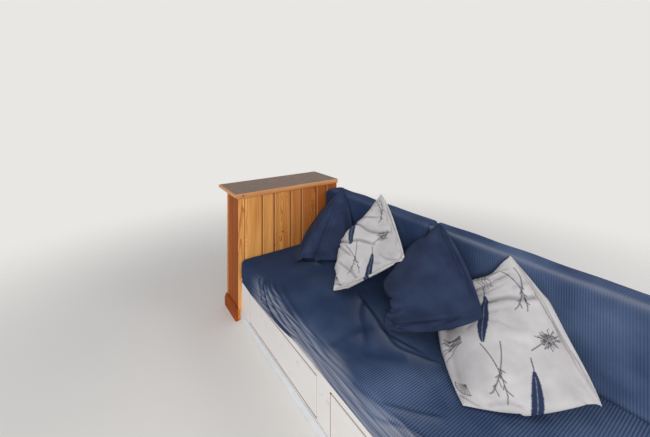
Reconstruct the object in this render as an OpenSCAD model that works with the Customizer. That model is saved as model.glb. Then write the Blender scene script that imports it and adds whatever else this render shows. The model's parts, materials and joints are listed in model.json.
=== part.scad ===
// Built-in daybed: a painted drawer base and a foam mattress, set against a pine-clad end counter.
// Millimetres. X runs along the bed, away from the counter; Y runs from the room to the wall; Z is up.

/* [Base] */
// Length of the bed base, from the counter's boards to its free end
bed_len = 2120; // [1900:10:2300]
// Depth of the bed base, from its painted front to the wall
base_depth = 855; // [760:5:950]
// Height of the painted base, up to the underside of the mattress
base_h = 300; // [280:5:340]
// Thickness of the painted boards of the base
board_t = 18; // [15:1:22]
// Width of the front panel left beside each outer drawer edge
end_stile_w = 155; // [120:5:180]
// Width of the front panel left between the two drawers
centre_stile_w = 110; // [90:5:140]
// Height of the front panel left under the drawers
sill_h = 60; // [56:1:80]
// Height of the front panel left over the drawers
head_h = 28; // [22:1:40]
// Thickness of the board that divides the two drawer bays
divider_t = 36; // [30:1:44]
// Height of the planted strip along the foot of the front
plinth_h = 54; // [40:1:56]
// Thickness of the planted strip along the foot of the front
plinth_t = 8; // [6:1:14]
// Depth of the head rail, front to back
head_rail_depth = 44; // [36:1:60]
// Width of the seat cut in the head rail for the deck
deck_seat_w = 18; // [12:1:24]

/* [Drawers] */
// Gap at each side of a drawer front
front_side_gap = 5; // [5:0.5:8]
// Finger gap over a drawer front
front_top_gap = 10; // [8:0.5:14]
// Gap under a drawer front
front_foot_gap = 6; // [5:0.5:9]
// Thickness of the drawer sides and back
drawer_t = 12; // [9:1:16]
// Thickness of the drawer bottom
drawer_bottom_t = 6; // [4:1:9]
// Height of the drawer bottom over the lower edge of the sides
drawer_bottom_up = 9; // [5:1:15]
// Height of the drawer sides
drawer_side_h = 160; // [110:5:165]
// Room left behind a closed drawer box
drawer_back_clear = 79; // [20:1:200]
// Clearance between a drawer side and the edge of the opening
drawer_side_clear = 11; // [10:0.5:16]
// Clearance between a drawer side and its guide
guide_clear = 5; // [5:0.5:8]
// Height of the guide over the runner
guide_h = 30; // [20:1:40]
// Thickness of the guide
guide_t = 14; // [10:1:20]
// Width of the runner that a drawer side slides on
runner_w = 26; // [22:1:34]
// Running gap between a drawer side and its runner
running_gap = 0.3; // [0.2:0.05:0.5]

/* [Counter] */
// Depth of the clad counter along the bed's length
counter_w = 230; // [190:5:300]
// How far the clad counter stands out in front of the base
counter_proud = 23; // [10:1:40]
// Height of the worktop's top over the back cushions' top
counter_over_back = 53; // [45:1:90]
// Thickness of the worktop
top_t = 22; // [18:1:30]
// Overhang of the worktop over the mattress side
top_over_bed = 15; // [12:1:25]
// Overhang of the worktop on the far side
top_over_far = 135; // [60:5:150]
// Overhang of the worktop at the room end
top_over_end = 32; // [20:1:45]
// Thickness of the pine lipping round the worktop
lip_t = 12; // [9:1:12]
// Side of the cover strip under the worktop
cover_s = 12; // [10:1:14]
// Thickness of the pine boards
clad_t = 12; // [10:1:16]
// Width of the wide pine boards
wide_board = 142; // [120:1:160]
// Width of the narrow pine boards
narrow_board = 98; // [80:1:110]
// Width of the vee between two boards
vee_w = 9; // [6:0.5:12]
// Depth of the vee between two boards
vee_d = 4; // [2:0.5:5]
// Width of the plain corner strip
corner_w = 45; // [35:1:60]
// Side of the square studs inside the counter
stud_s = 38; // [34:1:47]
// Height of the skirting
skirting_h = 90; // [70:1:110]
// Thickness of the skirting
skirting_t = 20; // [15:1:24]
// Height of the slope on top of the skirting
skirting_slope = 26; // [15:1:35]

/* [Mattress] */
// Thickness of the mattress
mattress_t = 145; // [120:5:180]
// How far the mattress swells out over the front
mattress_proud = 10; // [4:1:14]
// Radius of the mattress's top edges
mattress_r = 34; // [20:1:40]
// Radius of the mattress's upright corners
mattress_corner_r = 40; // [34:1:60]

/* [Back cushions] */
// Height of the back cushions
back_h = 415; // [360:5:460]
// Thickness of the back cushions
back_t = 126; // [100:2:150]
// Edge radius of the back cushions
back_r = 26; // [18:1:34]

/* [Scatter cushions] */
// Thickness of a navy scatter cushion at its middle
navy_fill = 132; // [80:2:150]
// Thickness of a printed scatter cushion at its middle
print_fill = 122; // [80:2:150]
// Thickness of a scatter cushion along its seam
seam_t = 8; // [6:1:12]

/* [Hidden] */

// A resting gap between soft pieces and what carries them, so that they touch without sharing volume
rest_gap = 0.3;
// A round number of millimetres that clears a face when a cut runs through it
through = 5;

drawer_box_depth = base_depth - 2 * board_t - drawer_back_clear;
panel_h = base_h - board_t;
deck_front_y = head_rail_depth - deck_seat_w;
opening_w = (bed_len - 2 * end_stile_w - centre_stile_w) / 2;
opening_h = base_h - sill_h - head_h;
runner_top = sill_h + front_foot_gap;
left_opening_x = end_stile_w;
right_opening_x = end_stile_w + opening_w + centre_stile_w;

mattress_top = base_h + mattress_t;
back_front_y = base_depth - rest_gap - back_t;
soft_depth = base_depth - rest_gap;

counter_h = mattress_top + back_h + counter_over_back;
carcass_h = counter_h - top_t;
counter_len = base_depth + counter_proud;
inner_w = counter_w - 2 * clad_t;
inner_len = counter_len - 2 * clad_t;

// The part's own frame has its origin at the middle of its footprint, on the floor
low_x = -counter_w - top_over_far;
low_y = -counter_proud - top_over_end;
origin_x = (low_x + bed_len) / 2;
origin_y = (low_y + base_depth) / 2;

// Corners of each scatter cushion as top, right, foot and left: how far each lies from the counter's
// boards, in front of the back cushions and above the mattress
far_navy_corners = [[249, -11, 463], [470, 29, 75], [288, 441, 2], [14, 119, 156]];
far_print_corners = [[644, -31, 495], [997, 84, 172], [720, 427, 2], [524, 209, 73]];
near_navy_corners = [[1146, 3, 451], [1551, 229, 208], [1128, 409, 2], [907, 159, 60]];
near_print_corners = [[1545, 7, 422], [1973, 129, 168], [1613, 472, 2], [1290, 177, 32]];

// Moves what it holds from the bed's own corner to the part's frame
module in_frame() {
    translate([-origin_x, -origin_y, 0]) children();
}

// A board from one corner to the opposite one
module board(low, high) {
    translate(low) cube([high.x - low.x, high.y - low.y, high.z - low.z]);
}

// The space that the head rail takes, which the boards behind the front are notched for
module head_rail_space() {
    board([0, 0, base_h - head_h], [bed_len, head_rail_depth, base_h]);
}

// The rail over the drawers, with a seat along its back that the deck's front edge lies in
module head_rail() {
    color("whitesmoke") in_frame() difference() {
        head_rail_space();
        translate([-through, deck_front_y, panel_h])
            cube([bed_len + 2 * through, deck_seat_w + through, board_t + through]);
    }
}

module sill_rail() {
    color("whitesmoke") in_frame() board([0, 0, 0], [bed_len, board_t, sill_h]);
}

// An upright of the front between the two rails, from one x to another
module stile(x0, x1) {
    color("whitesmoke") in_frame() board([x0, 0, sill_h], [x1, board_t, base_h - head_h]);
}

module plinth_strip() {
    color("white") in_frame() board([0, -plinth_t, 0], [bed_len, 0, plinth_h]);
}

module end_panel(x) {
    color("whitesmoke") in_frame() difference() {
        board([x, board_t, 0], [x + board_t, base_depth, panel_h]);
        head_rail_space();
    }
}

module centre_divider() {
    middle = bed_len / 2;
    color("tan") in_frame() difference() {
        board([middle - divider_t / 2, board_t, 0], [middle + divider_t / 2, base_depth - board_t, panel_h]);
        head_rail_space();
    }
}

module back_panel() {
    color("tan") in_frame()
        board([board_t, base_depth - board_t, 0], [bed_len - board_t, base_depth, panel_h]);
}

// One half of the plywood deck, from one x to another
module deck(x0, x1) {
    color("burlywood") in_frame() board([x0, deck_front_y, panel_h], [x1, base_depth, base_h]);
}

// The outline of a runner with its guide: the runner carries a drawer side, the guide keeps it straight
module runner_outline() {
    reach = drawer_side_clear + runner_w;
    guide_face = drawer_side_clear - guide_clear;
    polygon([
        [guide_face - guide_t, 0], [reach, 0], [reach, runner_top], [guide_face, runner_top],
        [guide_face, runner_top + guide_h], [guide_face - guide_t, runner_top + guide_h]
    ]);
}

// A runner along one edge of a bay, from the back of the front boards to the back panel
module runner(x, side) {
    length = base_depth - 2 * board_t;
    translate([x, board_t + length, 0]) mirror([side < 0 ? 1 : 0, 0, 0])
        rotate([90, 0, 0]) linear_extrude(length) runner_outline();
}

module bay_runners(x) {
    color("tan") in_frame() {
        runner(x, 1);
        runner(x + opening_w, -1);
    }
}

// The flush front of the drawer whose opening starts at x
module drawer_front(x) {
    color("whitesmoke") in_frame()
        board([x + front_side_gap, 0, sill_h + front_foot_gap],
              [x + opening_w - front_side_gap, board_t, sill_h + opening_h - front_top_gap]);
}

// A side of the drawer box, with its outer face at x and its inner face towards the sign of side
module drawer_side(x, side) {
    x0 = side > 0 ? x + drawer_side_clear : x + opening_w - drawer_side_clear - drawer_t;
    z0 = runner_top + running_gap;
    color("burlywood") in_frame()
        board([x0, board_t, z0], [x0 + drawer_t, board_t + drawer_box_depth, z0 + drawer_side_h]);
}

module drawer_back(x) {
    inset = drawer_side_clear + drawer_t;
    z0 = runner_top + running_gap;
    y1 = board_t + drawer_box_depth;
    color("burlywood") in_frame()
        board([x + inset, y1 - drawer_t, z0], [x + opening_w - inset, y1, z0 + drawer_side_h]);
}

module drawer_bottom(x) {
    inset = drawer_side_clear + drawer_t;
    z0 = runner_top + running_gap + drawer_bottom_up;
    color("burlywood") in_frame()
        board([x + inset, board_t, z0],
              [x + opening_w - inset, board_t + drawer_box_depth - drawer_t, z0 + drawer_bottom_t]);
}

// The softwood frame inside the counter: posts, a middle post on each long side, and rails between them
module counter_frame() {
    x0 = -counter_w + clad_t;
    y0 = -counter_proud + clad_t;
    color("wheat") in_frame() translate([x0, y0, 0]) union() {
        for (x = [0, inner_w - stud_s], y = [0, (inner_len - stud_s) / 2, inner_len - stud_s])
            translate([x, y, 0]) cube([stud_s, stud_s, carcass_h]);
        for (z = [0, carcass_h - stud_s]) {
            for (x = [0, inner_w - stud_s])
                translate([x, 0, z]) cube([stud_s, inner_len, stud_s]);
            for (y = [0, inner_len - stud_s])
                translate([0, y, z]) cube([inner_w, stud_s, stud_s]);
        }
    }
}

// Where the vees come along a run of boards: wide and narrow boards in turn, from its start
function vee_places(length) =
    let (pair = wide_board + narrow_board)
    [for (n = [0 : floor(length / pair)], w = [wide_board, pair])
        if (n * pair + w < length - vee_w) n * pair + w];

// The plan outline of a run of boards along +X, with its vees in the lower face
module boards_outline(length, vees) {
    polygon(concat(
        [[0, 0]],
        [for (v = vees, p = [[v - vee_w / 2, 0], [v, vee_d], [v + vee_w / 2, 0]]) p],
        [[length, 0], [length, clad_t], [0, clad_t]]
    ));
}

// A long run of wide and narrow boards
module boards(length) {
    linear_extrude(carcass_h) boards_outline(length, vee_places(length));
}

// A pair of equal boards
module board_pair(length) {
    linear_extrude(carcass_h) boards_outline(length, [length / 2]);
}

module bed_side_boards() {
    y0 = -counter_proud + corner_w;
    color("peru") in_frame() translate([0, y0, 0]) rotate(90) boards(base_depth - y0);
}

module far_side_boards() {
    color("peru") in_frame() translate([-counter_w, base_depth, 0]) rotate(-90) boards(counter_len);
}

module room_end_boards() {
    color("peru") in_frame() translate([-counter_w + clad_t, -counter_proud, 0]) board_pair(inner_w);
}

module wall_end_boards() {
    color("peru") in_frame() translate([-clad_t, base_depth, 0]) rotate(180) board_pair(inner_w);
}

module corner_strip() {
    color("sandybrown") in_frame()
        board([-clad_t, -counter_proud, 0], [0, -counter_proud + corner_w, carcass_h]);
}

module counter_top() {
    color("dimgray") in_frame()
        board([low_x + lip_t, low_y + lip_t, carcass_h], [top_over_bed - lip_t, base_depth, counter_h]);
}

module top_lipping() {
    color("sienna") in_frame() difference() {
        board([low_x, low_y, carcass_h], [top_over_bed, base_depth, counter_h]);
        translate([low_x + lip_t, low_y + lip_t, carcass_h - through])
            cube([top_over_bed - low_x - 2 * lip_t, counter_len + top_over_end, top_t + 2 * through]);
    }
}

// The square strip that covers the joint between the boards and the worktop, on the three open sides
module top_cover_strip() {
    z0 = carcass_h - cover_s;
    color("sienna") in_frame() difference() {
        board([-counter_w - cover_s, -counter_proud - cover_s, z0], [cover_s, base_depth, carcass_h]);
        translate([-counter_w, -counter_proud, z0 - through])
            cube([counter_w, counter_len + through, cover_s + 2 * through]);
    }
}

// The upright outline of the skirting, its back at x = 0 and its face towards -X
module skirting_outline() {
    polygon([
        [0, 0], [0, skirting_h], [-skirting_t / 3, skirting_h], [-skirting_t, skirting_h - skirting_slope],
        [-skirting_t, 0]
    ]);
}

module room_end_skirting() {
    color("saddlebrown") in_frame() translate([-counter_w - skirting_t, -counter_proud, 0])
        rotate(90) rotate([90, 0, 0]) linear_extrude(counter_w + skirting_t) skirting_outline();
}

module far_side_skirting() {
    color("saddlebrown") in_frame() translate([-counter_w, base_depth, 0]) rotate([90, 0, 0])
        linear_extrude(counter_len) skirting_outline();
}

// A soft block with round top edges and upright corners, its foot flat
module soft_block(size, edge_r, corner_r) {
    hull() for (x = [corner_r, size.x - corner_r], y = [corner_r, size.y - corner_r])
        translate([x, y, 0]) {
            cylinder(h = size.z - edge_r, r = corner_r, $fn = 32);
            translate([0, 0, size.z - edge_r]) cylinder(h = edge_r * 0.7, r = corner_r - edge_r * 0.3, $fn = 32);
            cylinder(h = size.z, r = corner_r - edge_r, $fn = 32);
        }
}

module mattress() {
    color("midnightblue") in_frame() translate([rest_gap, -mattress_proud, base_h + rest_gap])
        soft_block([bed_len - rest_gap, soft_depth + mattress_proud, mattress_t - 2 * rest_gap],
                   mattress_r, mattress_corner_r);
}

module back_cushion(x0, x1) {
    color("midnightblue") in_frame() translate([x0 + rest_gap, back_front_y, mattress_top])
        soft_block([x1 - x0 - 2 * rest_gap, back_t, back_h], back_r * 0.9, back_r);
}

// Scatter cushions lean back over the back cushions where they stand this far above their top,
lean_from = 30;
// and by this much for each millimetre more
lean_over = 0.7;

// Scatter cushions: a grid of points over a four-cornered patch, thick at its middle, thin at its seam
grid_n = 14;

// A point of the patch between four corners
function patch(c, s, t) = (1 - t) * ((1 - s) * c[0] + s * c[1]) + t * ((1 - s) * c[3] + s * c[2]);

// The way the patch faces, out of the side where top, right, foot and left run clockwise
function facing(c) = let (n = cross(c[0] - c[2], c[1] - c[3])) n / norm(n);

// How full the cushion is at a point, from 0 at the seam to 1 at the middle
function fullness(s, t) = pow(16 * s * (1 - s) * t * (1 - t), 0.5);

// How far a seam is pulled in between its corners
function pulled(s, t) = let (k = 0.03)
    [s + k * (0.5 - s) * 4 * t * (1 - t), t + k * (0.5 - t) * 4 * s * (1 - s)];

// Keeps a point off the counter's boards, the mattress and the back cushions, as a soft cushion that
// rests on them is, and lets it lean back only well above the back cushions' top
function rested(p) = [
    max(p.x, rest_gap),
    min(p.y, back_front_y - rest_gap + lean_over * max(0, p.z - mattress_top - back_h - lean_from)),
    max(p.z, mattress_top)
];

function cushion_point(c, fill, s, t, side) =
    let (
        q = pulled(s, t),
        corner_at = [for (p = c) [p.x, back_front_y - p.y, mattress_top + p.z]],
        middle = patch(corner_at, q[0], q[1]),
        half = seam_t / 2 + (fill - seam_t) / 2 * fullness(s, t)
    )
    rested(middle + side * half * facing(corner_at));

module scatter_cushion(c, fill) {
    n = grid_n;
    row = n + 1;
    sheet = row * row;
    points = [
        for (side = [1, -1], i = [0 : n], j = [0 : n]) cushion_point(c, fill, i / n, j / n, side)
    ];
    cells = [for (i = [0 : n - 1], j = [0 : n - 1]) i * row + j];
    front = [for (k = cells, f = [[k, k + row, k + row + 1], [k, k + row + 1, k + 1]]) f];
    back = [for (f = front) [f[2] + sheet, f[1] + sheet, f[0] + sheet]];
    rim = concat(
        [for (j = [0 : n - 1]) j],
        [for (i = [0 : n - 1]) i * row + n],
        [for (j = [n : -1 : 1]) n * row + j],
        [for (i = [n : -1 : 1]) i * row]
    );
    count = len(rim);
    edge = [
        for (k = [0 : count - 1])
            let (a = rim[k], b = rim[(k + 1) % count])
            for (f = [[a, b, b + sheet], [a, b + sheet, a + sheet]]) f
    ];
    in_frame() polyhedron(points = points, faces = concat(front, back, edge), convexity = 4);
}

head_rail();
sill_rail();
stile(0, left_opening_x);  // left_stile
stile(left_opening_x + opening_w, right_opening_x);  // centre_stile
stile(right_opening_x + opening_w, bed_len);  // right_stile
plinth_strip();
end_panel(0);  // left_end_panel
end_panel(bed_len - board_t);  // right_end_panel
centre_divider();
back_panel();
deck(0, bed_len / 2);  // deck_left
deck(bed_len / 2, bed_len);  // deck_right
bay_runners(left_opening_x);  // left_bay_runners
bay_runners(right_opening_x);  // right_bay_runners
drawer_front(left_opening_x);  // left_drawer_front
drawer_side(left_opening_x, 1);  // left_drawer_left_side
drawer_side(left_opening_x, -1);  // left_drawer_right_side
drawer_back(left_opening_x);  // left_drawer_back
drawer_bottom(left_opening_x);  // left_drawer_bottom
drawer_front(right_opening_x);  // right_drawer_front
drawer_side(right_opening_x, 1);  // right_drawer_left_side
drawer_side(right_opening_x, -1);  // right_drawer_right_side
drawer_back(right_opening_x);  // right_drawer_back
drawer_bottom(right_opening_x);  // right_drawer_bottom
counter_frame();
bed_side_boards();
room_end_boards();
far_side_boards();
wall_end_boards();
corner_strip();
counter_top();
top_lipping();
top_cover_strip();
room_end_skirting();
far_side_skirting();
mattress();
back_cushion(0, bed_len / 2);  // back_cushion_left
back_cushion(bed_len / 2, bed_len);  // back_cushion_right
color("midnightblue") scatter_cushion(far_navy_corners, navy_fill);  // navy_cushion_far
color("gainsboro") scatter_cushion(far_print_corners, print_fill);  // print_cushion_far
color("midnightblue") scatter_cushion(near_navy_corners, navy_fill);  // navy_cushion_near
color("gainsboro") scatter_cushion(near_print_corners, print_fill);  // print_cushion_near
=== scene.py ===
"""Looks of a built-in daybed with two drawers and a pine-clad counter at one end.

Lengths are metres in the part's own frame: X runs along the bed away from the counter,
Y towards the wall behind the bed, and Z up from the floor. Places on the bed are easier
to read from the bed's own corner, where the counter's boards, the base's front and the
floor meet, so the sub-assemblies hold them that way and `from_bed` moves them.
"""
from __future__ import annotations

import json
import logging
import math
import random
from dataclasses import dataclass, field
from enum import Enum
from functools import partial
from typing import Callable, Iterable, Sequence

import bmesh
import bpy
import numpy as np
from bpy.types import Material, Mesh, Node, NodeSocket, NodeTree, Object
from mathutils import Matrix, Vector

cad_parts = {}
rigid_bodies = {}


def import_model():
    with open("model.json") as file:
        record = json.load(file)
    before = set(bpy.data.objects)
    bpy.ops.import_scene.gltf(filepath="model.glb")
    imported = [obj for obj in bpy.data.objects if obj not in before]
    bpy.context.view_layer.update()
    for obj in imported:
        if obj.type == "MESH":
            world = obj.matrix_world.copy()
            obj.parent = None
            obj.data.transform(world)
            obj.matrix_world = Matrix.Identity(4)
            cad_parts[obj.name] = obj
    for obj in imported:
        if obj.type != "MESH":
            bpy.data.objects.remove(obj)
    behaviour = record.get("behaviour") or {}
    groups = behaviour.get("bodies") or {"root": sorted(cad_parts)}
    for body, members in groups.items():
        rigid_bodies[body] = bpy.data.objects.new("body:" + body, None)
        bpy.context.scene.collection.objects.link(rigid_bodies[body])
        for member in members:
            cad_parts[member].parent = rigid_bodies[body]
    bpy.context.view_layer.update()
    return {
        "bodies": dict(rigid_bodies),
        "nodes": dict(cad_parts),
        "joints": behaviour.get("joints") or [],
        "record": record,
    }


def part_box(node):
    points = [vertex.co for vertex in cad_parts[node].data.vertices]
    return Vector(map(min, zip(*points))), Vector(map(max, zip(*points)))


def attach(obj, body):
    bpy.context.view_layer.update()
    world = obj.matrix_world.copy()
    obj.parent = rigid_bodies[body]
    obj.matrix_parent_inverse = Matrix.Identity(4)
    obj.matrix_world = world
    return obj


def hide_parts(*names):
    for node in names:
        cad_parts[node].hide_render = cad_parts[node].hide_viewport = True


LOG = logging.getLogger("daybed")
# The helper that adds nodes, bound to one tree
AddNode = Callable[..., Node]

# The bed's own corner in the part's frame
BED_CORNER = np.array([-0.8775, -0.400, 0.0])
MM = 0.001
UP = (0, 0, 1)

# The node types that the finishes use most
ATTRIBUTE = "ShaderNodeAttribute"
MAPPING = "ShaderNodeMapping"
MATH = "ShaderNodeMath"
MIX = "ShaderNodeMix"
NOISE = "ShaderNodeTexNoise"
RANGE = "ShaderNodeMapRange"
VECTOR_MATH = "ShaderNodeVectorMath"


class Grain(Enum):
    """Which way a board's grain runs."""

    ALONG_X = 0
    ALONG_Y = 1
    ALONG_Z = 2


class Sheet(Enum):
    """The two sheets of a scatter cushion."""

    FRONT = 1
    BACK = -1


# Small helpers


def from_bed(points: Sequence[float] | np.ndarray) -> np.ndarray:
    """Moves points in metres from the bed's own corner into the part's frame."""
    return np.asarray(points, float) + BED_CORNER


def srgb(code: str) -> tuple[float, float, float, float]:
    """Turns an sRGB hex colour into the linear colour that a shader reads.

    Args:
        code: the colour as "#rrggbb".

    Returns:
        Linear red, green, blue, and an alpha of 1.
    """
    parts = [int(code[i:i + 2], 16) / 255 for i in (1, 3, 5)]
    linear = [c / 12.92 if c <= 0.04045 else ((c + 0.055) / 1.055) ** 2.4 for c in parts]
    return (linear[0], linear[1], linear[2], 1.0)


def first_output(node: Node) -> NodeSocket:
    """Gives a node's first output that is in use."""
    return next(socket for socket in node.outputs if socket.enabled)


def add_node(
    tree: NodeTree,
    kind: str,
    inputs: dict | None = None,
    stops: Sequence[tuple[float, str]] = (),
    **settings: object,
) -> Node:
    """Adds a node with its settings, its inputs and the links into it.

    Args:
        tree: the node tree to add to.
        kind: the node's type, such as "ShaderNodeMath".
        inputs: for each input's name or number, a node or socket to link from, or a value.
        stops: the places and hex colours of a colour ramp.
        settings: the node's own properties.

    Returns:
        The new node.
    """
    node = tree.nodes.new(kind)
    for name, value in settings.items():
        setattr(node, name, value)
    for key, value in (inputs or {}).items():
        # A node that mixes or switches has sockets of one name for each kind of value
        socket = next(s for n, s in enumerate(node.inputs) if s.enabled and key in (n, s.name))
        if isinstance(value, Node):
            value = first_output(value)
        if isinstance(value, NodeSocket):
            tree.links.new(value, socket)
        else:
            socket.default_value = value
    for number, (place, code) in enumerate(stops):
        ramp = node.color_ramp.elements
        stop = ramp[number] if number < 2 else ramp.new(place)
        stop.position = place
        stop.color = srgb(code)
    return node


def smoothstep(low: float, high: float, x: np.ndarray | float) -> np.ndarray:
    """Rises smoothly from 0 at low to 1 at high."""
    t = np.clip((np.asarray(x, float) - low) / (high - low), 0, 1)
    return t * t * (3 - 2 * t)


def distance_to_path(points: np.ndarray, path: np.ndarray) -> tuple[np.ndarray, np.ndarray, np.ndarray]:
    """Measures points in a plane against a path of straight runs.

    Args:
        points: places, one row each, with two columns.
        path: the path's corners, one row each.

    Returns:
        The distance, the side (1 left of the path's way, -1 right of it) and how far
        along the path the nearest place is, from 0 to 1.
    """
    best = np.full(len(points), np.inf)
    side = np.ones(len(points))
    along = np.zeros(len(points))
    lengths = np.linalg.norm(np.diff(path, axis=0), axis=1)
    total = lengths.sum()
    start = 0.0
    for a, b, length in zip(path[:-1], path[1:], lengths):
        way = (b - a) / length
        to_point = points - a
        t = np.clip(to_point @ way, 0, length)
        off = to_point - t[:, None] * way
        d = np.hypot(off[:, 0], off[:, 1])
        nearer = d < best
        best = np.where(nearer, d, best)
        cross = way[0] * to_point[:, 1] - way[1] * to_point[:, 0]
        side = np.where(nearer, np.where(cross >= 0, 1.0, -1.0), side)
        along = np.where(nearer, (start + t) / total, along)
        start += length
    return best, side, along


def smooth_path(corners: Sequence[Sequence[float]], steps: int = 8) -> np.ndarray:
    """Rounds a path through its corners with a Catmull-Rom curve.

    Args:
        corners: the places that the path goes through.
        steps: how many straight runs stand for each span.

    Returns:
        The rounded path, one row a place.
    """
    p = np.asarray(corners, float)
    p = np.vstack([2 * p[0] - p[1], p, 2 * p[-1] - p[-2]])
    out = []
    for k in range(1, len(p) - 2):
        for t in np.linspace(0, 1, steps, endpoint=False):
            out.append(0.5 * (
                2 * p[k] + (p[k + 1] - p[k - 1]) * t
                + (2 * p[k - 1] - 5 * p[k] + 4 * p[k + 1] - p[k + 2]) * t * t
                + (3 * p[k] - p[k - 1] - 3 * p[k + 1] + p[k + 2]) * t ** 3
            ))
    out.append(p[-2])
    return np.array(out)


def soft_noise(x: np.ndarray, y: np.ndarray, size: float, seed: int) -> np.ndarray:
    """Smooth random waves over a plane, about -1 to 1.

    Args:
        x: first coordinate of each place, in metres.
        y: second coordinate of each place, in metres.
        size: the usual width of a wave, in metres.
        seed: picks the waves.

    Returns:
        One value for each place.
    """
    rng = np.random.default_rng(seed)
    total = np.zeros(np.broadcast(x, y).shape)
    waves = 9
    for _ in range(waves):
        angle = rng.uniform(0, math.pi)
        pitch = size * rng.uniform(0.7, 1.8)
        phase = rng.uniform(0, 2 * math.pi)
        total += np.sin(2 * math.pi * (x * math.cos(angle) + y * math.sin(angle)) / pitch + phase)
    return total / math.sqrt(waves)


def heading(angle: float) -> np.ndarray:
    """Gives the unit vector at an angle in a plane."""
    return np.array([math.cos(angle), math.sin(angle)])


def read_rows(data: Sequence, label: str, width: int, kind: type = np.float32) -> np.ndarray:
    """Reads one property of all vertices, edges or kept values.

    Args:
        data: the vertices, edges or kept values.
        label: the property's name.
        width: how many numbers it has.
        kind: what numbers they are.

    Returns:
        The property, one row each.
    """
    values = np.empty(len(data) * width, kind)
    data.foreach_get(label, values)
    return values.reshape(-1, width)


def keep_values(mesh: Mesh, label: str, values: np.ndarray, domain: str = "POINT") -> None:
    """Keeps one number or three for each vertex, or for each item of another domain.

    Args:
        mesh: the mesh that keeps them.
        label: the name to keep them under.
        values: one number or one row for each item.
        domain: what each value belongs to.
    """
    values = np.asarray(values, np.float32)
    kind, slot = ("FLOAT", "value") if values.ndim == 1 else ("FLOAT_VECTOR", "vector")
    layer = mesh.attributes.new(label, kind, domain)
    layer.data.foreach_set(slot, values.ravel())


def unpack(bm: bmesh.types.BMesh) -> tuple[np.ndarray, list]:
    """Reads a bmesh's vertices and faces, and frees it."""
    bm.verts.index_update()
    points = np.array([v.co for v in bm.verts])
    faces = [[v.index for v in f.verts] for f in bm.faces]
    bm.free()
    return points, faces


def make_object(
    name: str,
    vertices: np.ndarray,
    faces: Sequence[Sequence[int]],
    smooth: bool,
    **attributes: np.ndarray,
) -> Object:
    """Makes a mesh object in the scene.

    Args:
        name: the object's name.
        vertices: places in the part's frame, one row each.
        faces: corners of each face, anticlockwise from outside.
        smooth: whether the faces are shaded smooth.
        attributes: values kept for each vertex, one number or three.

    Returns:
        The object, at the origin.
    """
    mesh = bpy.data.meshes.new(name)
    mesh.from_pydata(np.asarray(vertices).tolist(), [], faces)
    for label, values in attributes.items():
        keep_values(mesh, label, values)
    if smooth:
        mesh.shade_smooth()
    mesh.update()
    obj = bpy.data.objects.new(name, mesh)
    bpy.context.scene.collection.objects.link(obj)
    return obj


def report(obj: Object) -> None:
    """Says in the log that a piece is finished, with its count of faces."""
    LOG.info("%s: %d faces", obj.name, len(obj.data.polygons))


# Finishes


@dataclass(frozen=True)
class Finish:
    """What every finish has: a name, and the shader values that are the same all over."""

    name: str
    roughness: float = 0.6
    coat: float = 0.0
    coat_roughness: float = 0.2
    specular: float = 0.5
    sheen: float = 0.0
    sheen_tint: str = "#ffffff"

    def start(self) -> tuple[Material, AddNode]:
        """Makes the material with its shader.

        Returns:
            The material, and the helper that adds nodes to it.
        """
        material = bpy.data.materials.new(self.name)
        material.use_nodes = True
        tree = material.node_tree
        shader = tree.nodes["Principled BSDF"]
        shader.inputs["Roughness"].default_value = self.roughness
        shader.inputs["Specular IOR Level"].default_value = self.specular
        shader.inputs["Coat Weight"].default_value = self.coat
        shader.inputs["Coat Roughness"].default_value = self.coat_roughness
        shader.inputs["Sheen Weight"].default_value = self.sheen
        shader.inputs["Sheen Roughness"].default_value = 0.5
        shader.inputs["Sheen Tint"].default_value = srgb(self.sheen_tint)
        return material, partial(add_node, tree)

    def complete(
        self, material: Material, colour: Node, height: Node, depth: float
    ) -> Material:
        """Leads the colour and the relief into the shader.

        Args:
            material: the material.
            colour: the node that gives its colour.
            height: the node that gives its relief, from 0 to 1.
            depth: how far 1 stands up, in metres.

        Returns:
            The material.
        """
        tree = material.node_tree
        shader = tree.nodes["Principled BSDF"]
        bump = add_node(tree, "ShaderNodeBump", {"Height": height, "Strength": 1.0, "Distance": depth})
        tree.links.new(first_output(colour), shader.inputs["Base Color"])
        tree.links.new(first_output(bump), shader.inputs["Normal"])
        return material


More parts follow.
